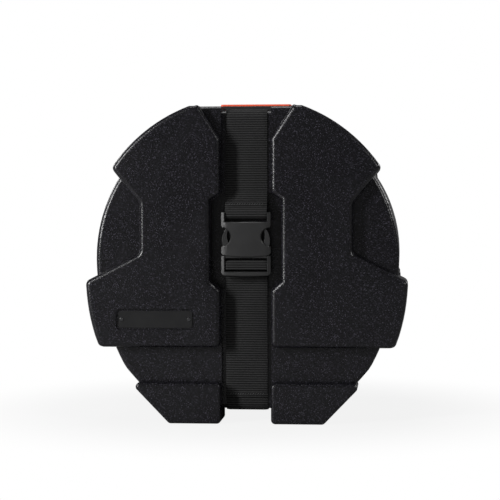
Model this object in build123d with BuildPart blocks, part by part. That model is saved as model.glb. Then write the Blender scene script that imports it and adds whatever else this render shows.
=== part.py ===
from build123d import *
import math
import os

# A rotationally moulded drum case for a small tom, standing on its feet with the lid towards -Y.
# X is across, Z is up. The origin is on the floor, under the middle of the case.

# Case
CASE_DEPTH = 300
WALL = 4.5
BODY_RADIUS = 182
LOWER_ARC_OFFSET = 62
BOTTOM_FLAT = 1
CROWN_DEPTH = 30
CROWN_MARGIN = 7.3
CROWN_CORNER = 7
FACE_STEP = 15
FACE_ROUND = 6
LID_DEPTH = 100
SEAM_GAP = 1
CUT_OVERRUN = 3
FIT_GAP = 0.3
TOUCH_GAP = 0.1
HEAD_ROUND_SHARE = 0.75

# Raised pads: each corner of the right pad, across and above the axis, as shares of the pads' radius
PAD_PROUD = 12
PAD_TOP_DROP = 12
CROWN_DROP = 2
PAD_REACH = 70
PAD_ROUND = 6
PAD_CORNER = 7
TOP_CHAMFER_SHARE = (0.2948, 0.7361)
UPPER_TIP_SHARE = (0.8247, 0.5546)
NOTCH_TOP_SHARE = (0.6567, 0.3418)
NOTCH_BOTTOM_SHARE = (0.6567, 0.034)
LOWER_TIP_SHARE = (0.9928, -0.1392)
LOWER_BULGE_SHARE = (0.9649, -0.3402)
LOWER_CORNER_SHARE = (0.9041, -0.5454)

# Strap channel and buckle recess
CHANNEL_MARGIN = 5
CHANNEL_DEPTH = 7
CHANNEL_ROUND = 8
RECESS_MARGIN = 12.8
RECESS_DEPTH = 11
RECESS_ABOVE = 14.8
RECESS_SLANT = 8.4
RECESS_BELOW = 5.2
RECESS_LOWER_SLANT = 10.6

# Feet: the tip's place and the sole's end are shares of the pads' radius and of the axis height
FOOT_HEIGHT = 16
FOOT_REACH = 55
FOOT_TIP_SHARE = (0.7165, 0.7523)
FOOT_SOLE_SHARE = 0.4742
FOOT_CORNER = 5
FOOT_ROUND = 4

# Lip of the base inside the lid
LIP_LENGTH = 25
LIP_THICK = 3.5
LIP_ROOT = 12
LIP_GAP = 0.5

# Foam
FOAM_THICK = 7
FOAM_END_THICK = 9
FOAM_LIP_GAP = 4.3

# Name plate: its middle is given as shares of the pads' radius
PLATE_WIDTH = 88.5
PLATE_HEIGHT = 20
PLATE_THICK = 1.2
PLATE_CENTRE_SHARE = (-0.5582, -0.3727)
PLATE_POCKET_MARGIN = 2.6
PLATE_POCKET_DEPTH = 2.6
PLATE_RIVET_INSET = 3.75
PLATE_RIVET_RADIUS = 1.6
PLATE_RIVET_HEAD = 2.4
PLATE_RIVET_HEAD_RISE = 1.1
PLATE_RIVET_TAIL = 2.8
PLATE_RIVET_TAIL_RISE = 1
PIN_GAP = 0.05

# Webbing: the fold and the lift are heights above the buckle's top
WEB_WIDTH = 50
WEB_THICK = 1.8
WEB_SIDE_GAP = 0.5
WEB_END_GAP = 0.3
WEB_SEAT = 0.15
WEB_BEND = 6
WEB_FOLD_START = 1.3
WEB_FOLD_LEAN = 6.3
WEB_FOLD_END = 12
WEB_LIFT_BOTTOM = 9.8
WEB_LIFT_TOP = 24.8
WEB_RIVET_HEIGHT = 60
WEB_RIVET_RADIUS = 2.5
WEB_RIVET_HEAD = 7
WEB_RIVET_HEAD_RISE = 2.2
WASHER_RADIUS = 10
WASHER_THICK = 1.5
TAIL_END_SHARE = 0.9171

# Side release buckle: the socket's bottom is above the case's axis, depths are in front of the buckle's back
BUCKLE_RAIL = 4
BUCKLE_THICK = 12.4
BUCKLE_SKIN = 2.2
BUCKLE_EDGE = 1
BUCKLE_CORNER = 2.5
BUCKLE_GAP = 0.4
BAR_HEIGHT = 5.5
BAR_THICK = 4
BAR_INSET = 3.4
BAR_EDGE_SHARE = 0.4
SLOT_HEIGHT = 5.9
SOCKET_BOTTOM = 4.2
SOCKET_LENGTH = 51
SOCKET_CHIN_DROP = 2.3
MOUTH_RAIL = 4.5
CAVITY_END_WALL = 4.3
CAVITY_ROUND = 4
WINDOW_TOP_SHARE = 0.9344
WINDOW_BOTTOM_SHARE = 0.2281
WINDOW_WAIST_SHARE = 0.6136
WINDOW_LIP = 1.2
PANEL_WIDTH_SHARE = 0.4576
PANEL_TOP_SHARE = 0.8125
PANEL_BOTTOM_SHARE = 0.0625
PANEL_DEPTH = 0.7

# The plug: its bars are shares of its length, counted down from its top
PLUG_GAP = 1
PLUG_LENGTH = 24.3
PLUG_CHIN = 1.2
CROSSBAR_ENTRY = 3.3
CROSSBAR_HEIGHT = 6.7
CROSSBAR_SIDE_GAP = 0.6
MIDDLE_BAR_TOP_SHARE = 0.2922
MIDDLE_BAR_BOTTOM_SHARE = 0.5514
MIDDLE_BAR_THICK = 3
MIDDLE_BAR_INSET = 5
LOOP_END_SHARE = 0.6667
LOWER_BAR_SHARE = 0.7737
GUIDE_HALF = 4.2
GUIDE_TOP_SHARE = 0.7969
GUIDE_THICK = 4

# The sprung arms: shares of the buckle's half width, and of the socket's hollow above the crossbar
SPRING_THICK = 7
SPRING_ROOT_RADIUS = 2.2
SPRING_ROOT_SHARE = 0.5153
SPRING_NECK_SHARE = (0.7254, 0.1156)
SPRING_THROAT_SHARE = (0.8102, 0.2438)
SPRING_SHOULDER_SHARE = (0.9458, 0.2438)
SPRING_PAD_SHARE = (0.9627, 0.5469)
SPRING_TIP_SHARE = (0.7525, 0.9406)
SPRING_TIP_INNER_SHARE = (0.6847, 0.9094)
SPRING_INNER_SHARE = (0.7661, 0.5781)
SPRING_ARMPIT_SHARE = (0.5831, 0.2031)

# Carry handle on the crown of the base
HANDLE_HALF = 48
GRIP_FRONT = 0
GRIP_WIDTH = 22
GRIP_LIFT = 1
GRIP_THICK = 9.6
GRIP_ROUND = 4
GRIP_EDGE = 1
BAIL_ARM_WIDTH = 14
BAIL_ARM_THICK = 6
PIVOT_BEHIND = 46
EYE_RADIUS = 4.2
EYE_GAP = 0.2
GRIP_PAD_MARGIN = 0.6
GRIP_PAD_THICK = 2.2
GRIP_PAD_ROUND = 1.2
BRACKET_THICK = 1.8
BRACKET_SIDE_GAP = 0.4
BRACKET_HALF_LENGTH = 15
BRACKET_WING = 12.5
BRACKET_SCREW_OFFSET = 9
HANDLE_PIN_RADIUS = 1.9
HANDLE_PIN_HEAD = 3
HANDLE_PIN_HEAD_RISE = 1
RUNNING_GAP = 0.1
SCREW_RADIUS = 1.8
SCREW_HEAD_RADIUS = 3.4
SCREW_HEAD_RISE = 1.6
BACKING_THICK = 1.5
BACKING_MARGIN = 1
NUT_RADIUS = 3.4
NUT_THICK = 2.4

# The case's heights and half widths that follow from these sizes
FRONT, BACK = -1, 1
PAD_RADIUS = BODY_RADIUS + PAD_PROUD
PAD_TOP = PAD_RADIUS - PAD_TOP_DROP
CROWN_TOP = PAD_TOP - CROWN_DROP
CROWN_ROOT = CROWN_TOP - CROWN_DEPTH
CROWN_HALF = HANDLE_HALF + BRACKET_SIDE_GAP + BRACKET_THICK + BRACKET_WING + CROWN_MARGIN
BODY_DROP = BODY_RADIUS - BOTTOM_FLAT
AXIS_HEIGHT = BODY_DROP + FOOT_HEIGHT
BASE_LENGTH = CASE_DEPTH - LID_DEPTH - SEAM_GAP
LID_SEAM = LID_DEPTH - CASE_DEPTH / 2
BASE_SEAM = LID_SEAM + SEAM_GAP
CHANNEL_HALF = WEB_WIDTH / 2 + CHANNEL_MARGIN
CHANNEL_INSET = FACE_STEP + CHANNEL_DEPTH
CHANNEL_FLOOR = CHANNEL_INSET - CASE_DEPTH / 2
CHANNEL_TOP = AXIS_HEIGHT + PAD_TOP - CHANNEL_DEPTH
BODY_BOTTOM = AXIS_HEIGHT - BODY_DROP
REACH = CASE_DEPTH + 2 * AXIS_HEIGHT

# The buckle's heights above the axis
SLOT_HALF = WEB_WIDTH / 2 + WEB_SIDE_GAP
BUCKLE_HALF = SLOT_HALF + BUCKLE_RAIL
MOUTH_HALF = BUCKLE_HALF - MOUTH_RAIL
BUCKLE_BACK = CHANNEL_FLOOR - 2 * (TOUCH_GAP + WEB_THICK) - FIT_GAP
BUCKLE_TOP = SOCKET_BOTTOM + SOCKET_LENGTH
SLOT_TOP = BUCKLE_TOP - BAR_HEIGHT
SLOT_BOTTOM = SLOT_TOP - SLOT_HEIGHT
CAVITY_TOP = SLOT_BOTTOM - CAVITY_END_WALL
CROSSBAR_TOP = SOCKET_BOTTOM + CROSSBAR_ENTRY
CAVITY_REACH = CAVITY_TOP - CROSSBAR_TOP
PLUG_TOP = SOCKET_BOTTOM - PLUG_GAP
PLUG_BOTTOM = PLUG_TOP - PLUG_LENGTH
MIDDLE_BAR_TOP = PLUG_TOP - MIDDLE_BAR_TOP_SHARE * PLUG_LENGTH
MIDDLE_BAR_BOTTOM = PLUG_TOP - MIDDLE_BAR_BOTTOM_SHARE * PLUG_LENGTH
LOWER_BAR_TOP = PLUG_TOP - LOWER_BAR_SHARE * PLUG_LENGTH
RECESS_HALF = BUCKLE_HALF + RECESS_MARGIN
RECESS_SHOULDER = BUCKLE_TOP + RECESS_ABOVE
RECESS_TOP = RECESS_SHOULDER + RECESS_SLANT
RECESS_HEEL = PLUG_BOTTOM - RECESS_BELOW
RECESS_FOOT = RECESS_HEEL - RECESS_LOWER_SLANT


def end_plane(side, inset, height=AXIS_HEIGHT):
    """The plane that lies this far behind the pads of one end and looks outwards from the case."""
    origin = (0, side * (CASE_DEPTH / 2 - inset), height)
    return Plane(origin=origin, x_dir=(-side, 0, 0), z_dir=(0, side, 0))


def corners(sketch, points):
    """The sketch's corners nearest to the given points."""
    return [sketch.vertices().sort_by_distance((x, z, 0))[0] for x, z in points]


def on_pad(share):
    """The point whose place is given as shares of the pads' radius."""
    return (share[0] * PAD_RADIUS, share[1] * PAD_RADIUS)


def body_face(inset=0):
    """The body drawn in by inset: a half circle with a flat crown, two wider arcs and a flat below."""
    radius = BODY_RADIUS - inset
    low = radius + LOWER_ARC_OFFSET
    drop = BODY_DROP - inset
    foot = math.sqrt(low**2 - drop**2) - LOWER_ARC_OFFSET
    half_turn = math.asin(drop / low) / 2
    bulge_x = low * math.cos(half_turn) - LOWER_ARC_OFFSET
    bulge_z = -low * math.sin(half_turn)
    with BuildSketch() as outline:
        with BuildLine():
            ThreePointArc((-radius, 0), (0, radius), (radius, 0))
            ThreePointArc((radius, 0), (bulge_x, bulge_z), (foot, -drop))
            Line((foot, -drop), (-foot, -drop))
            ThreePointArc((-foot, -drop), (-bulge_x, bulge_z), (-radius, 0))
        make_face()
        with Locations((0, (CROWN_TOP - inset + CROWN_ROOT) / 2)):
            Rectangle(2 * (CROWN_HALF - inset), CROWN_TOP - inset - CROWN_ROOT)
        crown_corners = [(side * (CROWN_HALF - inset), CROWN_TOP - inset) for side in (-1, 1)]
        fillet(corners(outline, crown_corners), radius=CROWN_CORNER - min(inset, WALL))
    return outline.sketch


def pad_faces():
    """Both pads of one end: an upper wing, a notch and a lower wing, mirrored across the channel."""
    top_end = math.sqrt(PAD_RADIUS**2 - PAD_TOP**2)
    tip_x, tip_z = on_pad(UPPER_TIP_SHARE)
    turn = (math.atan2(tip_z, tip_x) + math.atan2(PAD_TOP, top_end)) / 2
    tip_radius = math.hypot(tip_x, tip_z)
    rim = (PAD_RADIUS * math.cos(turn), PAD_RADIUS * math.sin(turn))
    tip = (PAD_RADIUS * tip_x / tip_radius, PAD_RADIUS * tip_z / tip_radius)
    chamfer_x, chamfer_z = on_pad(TOP_CHAMFER_SHARE)
    notch_top = on_pad(NOTCH_TOP_SHARE)
    notch_bottom = on_pad(NOTCH_BOTTOM_SHARE)
    lower_tip = on_pad(LOWER_TIP_SHARE)
    lower_corner = on_pad(LOWER_CORNER_SHARE)
    with BuildSketch() as pads:
        with BuildLine():
            Polyline(
                lower_corner,
                (CHANNEL_HALF, lower_corner[1]),
                (CHANNEL_HALF, RECESS_FOOT),
                (RECESS_HALF, RECESS_HEEL),
                (RECESS_HALF, RECESS_SHOULDER),
                (CHANNEL_HALF, RECESS_TOP),
                (CHANNEL_HALF, chamfer_z),
                (chamfer_x, PAD_TOP),
                (top_end, PAD_TOP),
            )
            ThreePointArc((top_end, PAD_TOP), rim, tip)
            Polyline(tip, notch_top, notch_bottom, lower_tip)
            ThreePointArc(lower_tip, on_pad(LOWER_BULGE_SHARE), lower_corner)
        make_face()
        rounded = [
            tip,
            notch_top,
            notch_bottom,
            lower_tip,
            lower_corner,
            (CHANNEL_HALF, lower_corner[1]),
            (CHANNEL_HALF, RECESS_FOOT),
            (CHANNEL_HALF, RECESS_TOP),
            (CHANNEL_HALF, chamfer_z),
            (chamfer_x, PAD_TOP),
        ]
        fillet(corners(pads, rounded), radius=PAD_CORNER)
        mirror(about=Plane.YZ)
    return pads.sketch


def foot_faces():
    """Both feet of one end: blocks with a chamfered outer side."""
    tip = (FOOT_TIP_SHARE[0] * PAD_RADIUS, -FOOT_TIP_SHARE[1] * AXIS_HEIGHT)
    outline = [
        (CHANNEL_HALF, tip[1]),
        tip,
        (FOOT_SOLE_SHARE * PAD_RADIUS, -AXIS_HEIGHT),
        (CHANNEL_HALF, -AXIS_HEIGHT),
    ]
    with BuildSketch() as feet:
        with BuildLine():
            Polyline(*outline, close=True)
        make_face()
        fillet(feet.vertices(), radius=FOOT_CORNER)
        mirror(about=Plane.YZ)
    return feet.sketch


def recess_face(margin=0):
    """The buckle recess, wider than the channel, with slanted ends."""
    with BuildSketch() as recess:
        with BuildLine():
            Polyline(
                (RECESS_HALF + margin, RECESS_SHOULDER + margin),
                (CHANNEL_HALF, RECESS_TOP + margin),
                (-CHANNEL_HALF, RECESS_TOP + margin),
                (-RECESS_HALF - margin, RECESS_SHOULDER + margin),
                (-RECESS_HALF - margin, RECESS_HEEL - margin),
                (-CHANNEL_HALF, RECESS_FOOT - margin),
                (CHANNEL_HALF, RECESS_FOOT - margin),
                (RECESS_HALF + margin, RECESS_HEEL - margin),
                close=True,
            )
        make_face()
    return recess.sketch


def groove(half_width, depth):
    """Everything within half_width of the middle that lies outside the channel's floor, sunk by depth."""
    middle = (CHANNEL_TOP + BODY_BOTTOM) / 2
    with BuildPart() as band:
        with BuildSketch(Plane.YZ.offset(-half_width)):
            with Locations((0, middle)):
                Rectangle(REACH, REACH)
                RectangleRounded(
                    CASE_DEPTH - 2 * CHANNEL_INSET - 2 * depth,
                    CHANNEL_TOP - BODY_BOTTOM - 2 * depth,
                    CHANNEL_ROUND,
                    mode=Mode.SUBTRACT,
                )
        extrude(amount=2 * half_width)
    return band.part


def half_cavity(side, length):
    """The hollow of one half: the body, the pads and the feet, each a wall inside the outer skin."""
    with BuildPart() as hollow:
        with BuildSketch(end_plane(side, FACE_STEP + WALL)):
            add(body_face(WALL))
        extrude(amount=-(length - FACE_STEP - WALL + CUT_OVERRUN))
        add(groove(CHANNEL_HALF + WALL, WALL), mode=Mode.SUBTRACT)
        with BuildSketch(end_plane(side, WALL)):
            offset(pad_faces(), amount=-WALL)
        extrude(amount=-(PAD_REACH - 2 * WALL))
        with BuildSketch(end_plane(side, WALL)):
            offset(foot_faces(), amount=-WALL)
        extrude(amount=-(FOOT_REACH - 2 * WALL))
    return hollow.part


def half_skin(side, length):
    """The outer form of one half, before the channel and the hollow are taken out."""
    with BuildPart() as pads:
        with BuildSketch(end_plane(side, 0)):
            add(pad_faces())
        extrude(amount=-PAD_REACH)
        ends = pads.faces().filter_by(Axis.Y)
        fillet(ends.edges(), radius=PAD_ROUND)
    with BuildPart() as feet:
        with BuildSketch(end_plane(side, 0)):
            add(foot_faces())
        extrude(amount=-FOOT_REACH)
        ends = feet.faces().filter_by(Axis.Y)
        fillet(ends.edges(), radius=FOOT_ROUND)
    with BuildPart() as skin:
        with BuildSketch(end_plane(side, FACE_STEP)):
            add(body_face())
        extrude(amount=-(length - FACE_STEP))
        outer = skin.faces().sort_by(Axis.Y)[0 if side == FRONT else -1]
        fillet(outer.edges(), radius=FACE_ROUND)
        add(pads.part)
        add(feet.part)
    return skin.part


# Lid shell: the shallow half, with the buckle recess and the name plate's pocket in its face
PLATE_CENTRE = on_pad(PLATE_CENTRE_SHARE)
PLATE_RIVET_REACH = PLATE_WIDTH / 2 - PLATE_RIVET_INSET
PLATE_RIVETS = [(PLATE_CENTRE[0] + side * PLATE_RIVET_REACH, PLATE_CENTRE[1]) for side in (-1, 1)]

with BuildPart() as lid_hollow:
    add(half_cavity(FRONT, LID_DEPTH))
    with BuildSketch(end_plane(FRONT, FACE_STEP)):
        add(recess_face(WALL))
    extrude(amount=-(RECESS_DEPTH + WALL), mode=Mode.SUBTRACT)

with BuildPart() as lid_shell:
    add(half_skin(FRONT, LID_DEPTH))
    add(groove(CHANNEL_HALF, 0), mode=Mode.SUBTRACT)
    add(lid_hollow.part, mode=Mode.SUBTRACT)
    with BuildSketch(end_plane(FRONT, -CUT_OVERRUN)):
        add(recess_face())
    extrude(amount=-(FACE_STEP + RECESS_DEPTH + CUT_OVERRUN), mode=Mode.SUBTRACT)
    with BuildSketch(end_plane(FRONT, 0)):
        with Locations(PLATE_CENTRE):
            RectangleRounded(
                PLATE_WIDTH + 2 * PLATE_POCKET_MARGIN,
                PLATE_HEIGHT + 2 * PLATE_POCKET_MARGIN,
                2 * PLATE_POCKET_MARGIN,
            )
    extrude(amount=-PLATE_POCKET_DEPTH, mode=Mode.SUBTRACT)
    with BuildSketch(end_plane(FRONT, 0)):
        with Locations(*PLATE_RIVETS):
            Circle(PLATE_RIVET_RADIUS + PIN_GAP)
    extrude(amount=-(WALL + CUT_OVERRUN), mode=Mode.SUBTRACT)

# Name plate, bare, with its two rivets through the lid's wall
PLATE_BACK = PLATE_POCKET_DEPTH - TOUCH_GAP
PLATE_FRONT = PLATE_BACK - PLATE_THICK

with BuildPart() as name_plate:
    with BuildSketch(end_plane(FRONT, PLATE_BACK)):
        with Locations(PLATE_CENTRE):
            RectangleRounded(PLATE_WIDTH, PLATE_HEIGHT, PLATE_POCKET_MARGIN)
        with Locations(*PLATE_RIVETS):
            Circle(PLATE_RIVET_RADIUS + PIN_GAP, mode=Mode.SUBTRACT)
    extrude(amount=PLATE_THICK)

with BuildPart() as name_plate_rivets:
    with BuildSketch(end_plane(FRONT, PLATE_FRONT)):
        with Locations(*PLATE_RIVETS):
            Circle(PLATE_RIVET_HEAD)
    extrude(amount=PLATE_RIVET_HEAD_RISE)
    heads = name_plate_rivets.faces().group_by(Axis.Y)[0]
    fillet(heads.edges(), radius=PLATE_RIVET_HEAD_RISE * HEAD_ROUND_SHARE)
    with BuildSketch(end_plane(FRONT, PLATE_FRONT)):
        with Locations(*PLATE_RIVETS):
            Circle(PLATE_RIVET_RADIUS)
    extrude(amount=-(WALL - PLATE_FRONT + PLATE_RIVET_TAIL_RISE))
    with BuildSketch(end_plane(FRONT, WALL + TOUCH_GAP)):
        with Locations(*PLATE_RIVETS):
            Circle(PLATE_RIVET_TAIL)
    extrude(amount=-PLATE_RIVET_TAIL_RISE)


# Base shell: the deep half, with the lip that slides into the lid
WEB_RIVETS = [(0, side * WEB_RIVET_HEIGHT) for side in (-1, 1)]
PIVOT_Y = GRIP_FRONT + PIVOT_BEHIND
SCREW_X = HANDLE_HALF + BRACKET_SIDE_GAP + BRACKET_THICK + BRACKET_WING / 2
SCREWS = [
    (side * SCREW_X, PIVOT_Y + end * BRACKET_SCREW_OFFSET)
    for side in (-1, 1)
    for end in (-1, 1)
]

with BuildPart() as lip:
    with BuildSketch(end_plane(BACK, BASE_LENGTH)):
        add(body_face(WALL + LIP_GAP))
        add(body_face(WALL + LIP_GAP + LIP_THICK), mode=Mode.SUBTRACT)
    extrude(amount=-LIP_LENGTH)
    with BuildSketch(end_plane(BACK, BASE_LENGTH)):
        add(body_face(WALL / 2))
        add(body_face(WALL + LIP_GAP + LIP_THICK), mode=Mode.SUBTRACT)
    extrude(amount=LIP_ROOT)
    add(groove(CHANNEL_HALF + WALL + LIP_GAP, WALL + LIP_GAP), mode=Mode.SUBTRACT)

with BuildPart() as base_shell:
    add(half_skin(BACK, BASE_LENGTH))
    add(groove(CHANNEL_HALF, 0), mode=Mode.SUBTRACT)
    add(half_cavity(BACK, BASE_LENGTH), mode=Mode.SUBTRACT)
    add(lip.part)
    with BuildSketch(end_plane(BACK, CHANNEL_INSET)):
        with Locations(*WEB_RIVETS):
            Circle(WEB_RIVET_RADIUS + PIN_GAP)
    extrude(amount=-(WALL + CUT_OVERRUN), mode=Mode.SUBTRACT)
    with BuildSketch(Plane.XY.offset(AXIS_HEIGHT + CROWN_TOP)):
        with Locations(*SCREWS):
            Circle(SCREW_RADIUS + PIN_GAP)
    extrude(amount=-(WALL + CUT_OVERRUN), mode=Mode.SUBTRACT)


# Foam linings: a ring round the side and a disc on the end of each half
LID_INSIDE = FACE_STEP + RECESS_DEPTH + WALL + TOUCH_GAP
BASE_INSIDE = CHANNEL_INSET + WALL + 2 * TOUCH_GAP + WASHER_THICK


def foam_ring(side, start, length):
    """A band of sheet foam inside the wall, with its ends at the bulge of the strap channel."""
    notch = CHANNEL_HALF + WALL + TOUCH_GAP
    with BuildPart() as ring:
        with BuildSketch(end_plane(side, start)):
            add(body_face(WALL + TOUCH_GAP))
            add(body_face(WALL + TOUCH_GAP + FOAM_THICK), mode=Mode.SUBTRACT)
            with Locations((0, BODY_RADIUS / 2)):
                Rectangle(2 * notch, BODY_RADIUS, mode=Mode.SUBTRACT)
        extrude(amount=-length)
    return ring.part


def foam_disc(side, start):
    """A sheet of foam that lies across the inside of the end wall."""
    with BuildPart() as disc:
        with BuildSketch(end_plane(side, start)):
            add(body_face(WALL + TOUCH_GAP))
        extrude(amount=-FOAM_END_THICK)
        notch = CHANNEL_HALF + WALL + TOUCH_GAP
        add(groove(notch, WALL + TOUCH_GAP), mode=Mode.SUBTRACT)
    return disc.part


lid_end_foam = foam_disc(FRONT, LID_INSIDE)
base_end_foam = foam_disc(BACK, BASE_INSIDE)
lid_foam_start = LID_INSIDE + FOAM_END_THICK + TOUCH_GAP
lid_foam_end = LID_DEPTH + SEAM_GAP - LIP_LENGTH - FOAM_LIP_GAP
lid_side_foam = foam_ring(FRONT, lid_foam_start, lid_foam_end - lid_foam_start)
base_foam_start = BASE_INSIDE + FOAM_END_THICK + TOUCH_GAP
base_foam_length = BASE_LENGTH - LIP_ROOT - FIT_GAP - base_foam_start
BACKING_TOP = AXIS_HEIGHT + CROWN_TOP - WALL - TOUCH_GAP / 2
BACKING_START = CHANNEL_HALF + WALL + BACKING_MARGIN
BACKING_END = CROWN_HALF - CROWN_CORNER
BACKING_DEPTH = BACKING_THICK + NUT_THICK + BACKING_MARGIN

with BuildPart() as base_side_foam:
    add(foam_ring(BACK, base_foam_start, base_foam_length))
    with BuildSketch(Plane.XY.offset(BACKING_TOP + CUT_OVERRUN)):
        with Locations((0, PIVOT_Y)):
            Rectangle(
                2 * (BACKING_END + BACKING_MARGIN), 2 * (BRACKET_HALF_LENGTH + BACKING_MARGIN)
            )
    extrude(amount=-(CUT_OVERRUN + BACKING_DEPTH), mode=Mode.SUBTRACT)


# Webbing: one band in four lengths, each drawn from the side and as wide as the strap
WEB_OFF = TOUCH_GAP + WEB_THICK / 2
WEB_FRONT = CHANNEL_FLOOR - WEB_OFF
WEB_TOP = CHANNEL_TOP + WEB_OFF
WEB_UNDER = BODY_BOTTOM - WEB_OFF
WEB_CORNER = CHANNEL_ROUND + WEB_OFF
BAR_WEB = WEB_SEAT + WEB_THICK / 2
BAR_EDGE = BAR_THICK * BAR_EDGE_SHARE
BAR_BEND = BAR_EDGE + BAR_WEB
MIDDLE_BAR_EDGE = MIDDLE_BAR_THICK * BAR_EDGE_SHARE
MIDDLE_BAR_BEND = MIDDLE_BAR_EDGE + BAR_WEB


def webbing(points, radii):
    """A band of webbing along a path of (y, z) points."""
    with BuildPart() as band:
        with BuildSketch(Plane.YZ.offset(-WEB_WIDTH / 2)):
            with BuildLine():
                FilletPolyline(*points, radius=radii)
            trace(line_width=WEB_THICK)
        extrude(amount=WEB_WIDTH)
    return band.part


# The upper length runs over the lid, down to the buckle, under the socket's bar and back up in a sewn fold
web_top = AXIS_HEIGHT + BUCKLE_TOP
bar_behind = BUCKLE_BACK - BAR_INSET + BAR_WEB
bar_before = BUCKLE_BACK - BAR_INSET - BAR_THICK - BAR_WEB
bar_under = web_top - BAR_HEIGHT - BAR_WEB
fold_lean = bar_behind - 3 * WEB_THICK / 2
strap_upper = webbing(
    [
        (LID_SEAM - WEB_END_GAP, WEB_TOP),
        (WEB_FRONT, WEB_TOP),
        (WEB_FRONT, web_top + WEB_LIFT_TOP),
        (bar_behind, web_top + WEB_LIFT_BOTTOM),
        (bar_behind, bar_under),
        (bar_before, bar_under),
        (bar_before, web_top + WEB_FOLD_START),
        (fold_lean, web_top + WEB_FOLD_LEAN),
        (fold_lean, web_top + WEB_FOLD_END),
    ],
    [WEB_CORNER, WEB_BEND, WEB_BEND, BAR_BEND, BAR_BEND, BAR_BEND, BAR_BEND],
)

# The lower length runs from behind the plug down the channel and under the lid; the tail lies on it
strap_start = AXIS_HEIGHT + MIDDLE_BAR_TOP
strap_lower = webbing(
    [(WEB_FRONT, strap_start), (WEB_FRONT, WEB_UNDER), (LID_SEAM - WEB_END_GAP, WEB_UNDER)],
    WEB_CORNER,
)
tail_y = WEB_FRONT - WEB_THICK - TOUCH_GAP
tail_end = -TAIL_END_SHARE * BODY_DROP
with BuildPart() as strap_tail:
    with BuildSketch(Plane.YZ.offset(-WEB_WIDTH / 2)):
        with Locations((tail_y, AXIS_HEIGHT + (MIDDLE_BAR_TOP + tail_end) / 2)):
            Rectangle(WEB_THICK, MIDDLE_BAR_TOP - tail_end)
    extrude(amount=WEB_WIDTH)

# The loop over the plug's middle bar
loop_behind = BUCKLE_BACK - MIDDLE_BAR_INSET + BAR_WEB
loop_before = BUCKLE_BACK - MIDDLE_BAR_INSET - MIDDLE_BAR_THICK - BAR_WEB
loop_top = AXIS_HEIGHT + MIDDLE_BAR_TOP + BAR_WEB
loop_end = AXIS_HEIGHT + PLUG_TOP - LOOP_END_SHARE * PLUG_LENGTH
strap_loop = webbing(
    [
        (loop_behind, loop_end),
        (loop_behind, loop_top),
        (loop_before, loop_top),
        (loop_before, loop_end),
    ],
    MIDDLE_BAR_BEND,
)

# The rear length, over the base, down its back and under it, is riveted to the back wall
with BuildPart() as strap_rear:
    add(
        webbing(
            [
                (BASE_SEAM + WEB_END_GAP, WEB_TOP),
                (-WEB_FRONT, WEB_TOP),
                (-WEB_FRONT, WEB_UNDER),
                (BASE_SEAM + WEB_END_GAP, WEB_UNDER),
            ],
            WEB_CORNER,
        )
    )
    with BuildSketch(end_plane(BACK, CHANNEL_INSET - TOUCH_GAP - WEB_THICK)):
        with Locations(*WEB_RIVETS):
            Circle(WEB_RIVET_RADIUS + PIN_GAP)
    extrude(amount=-WEB_THICK, mode=Mode.SUBTRACT)

RIVET_SEAT = CHANNEL_INSET - 2 * TOUCH_GAP - WEB_THICK
WASHER_SEAT = CHANNEL_INSET + WALL + TOUCH_GAP / 2

with BuildPart() as strap_rivets:
    with BuildSketch(end_plane(BACK, RIVET_SEAT)):
        with Locations(*WEB_RIVETS):
            Circle(WEB_RIVET_HEAD)
    extrude(amount=WEB_RIVET_HEAD_RISE)
    heads = strap_rivets.faces().group_by(Axis.Y)[-1]
    fillet(heads.edges(), radius=WEB_RIVET_HEAD_RISE * HEAD_ROUND_SHARE)
    with BuildSketch(end_plane(BACK, RIVET_SEAT)):
        with Locations(*WEB_RIVETS):
            Circle(WEB_RIVET_RADIUS)
    extrude(amount=-(WASHER_SEAT + WASHER_THICK - RIVET_SEAT))

with BuildPart() as strap_washers:
    with BuildSketch(end_plane(BACK, WASHER_SEAT)):
        with Locations(*WEB_RIVETS):
            Circle(WASHER_RADIUS)
            Circle(WEB_RIVET_RADIUS + PIN_GAP, mode=Mode.SUBTRACT)
    extrude(amount=-WASHER_THICK)


# Side release buckle
def buckle_plane(depth):
    """The plane this far in front of the buckle's back, with heights above the case's axis."""
    return Plane(origin=(0, BUCKLE_BACK - depth, AXIS_HEIGHT), x_dir=(1, 0, 0), z_dir=(0, -1, 0))


def cross_bar(top, height, thick, inset, edge):
    """A bar across the buckle with rounded edges, for the webbing to run round."""
    half = SLOT_HALF + BUCKLE_CORNER / 2
    with BuildPart() as bar:
        with BuildSketch(Plane.YZ.offset(-half)):
            with Locations((BUCKLE_BACK - inset - thick / 2, AXIS_HEIGHT + top - height / 2)):
                RectangleRounded(thick, height, edge)
        extrude(amount=2 * half)
    return bar.part


# The socket: a flat box open at the bottom, with side windows for the plug's arms and a bar for the webbing
CAVITY_THICK = BUCKLE_THICK - 2 * BUCKLE_SKIN
WINDOW_TOP = CROSSBAR_TOP + WINDOW_TOP_SHARE * CAVITY_REACH
WINDOW_BOTTOM = CROSSBAR_TOP + WINDOW_BOTTOM_SHARE * CAVITY_REACH
WINDOW_MIDDLE = (WINDOW_TOP + WINDOW_BOTTOM) / 2
WINDOW_EDGE = BUCKLE_HALF - WINDOW_LIP
WINDOW_WAIST = WINDOW_WAIST_SHARE * BUCKLE_HALF
SOCKET_CHIN = SOCKET_BOTTOM - SOCKET_CHIN_DROP
PANEL_TOP = CROSSBAR_TOP + PANEL_TOP_SHARE * CAVITY_REACH
PANEL_BOTTOM = CROSSBAR_TOP + PANEL_BOTTOM_SHARE * CAVITY_REACH

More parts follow.
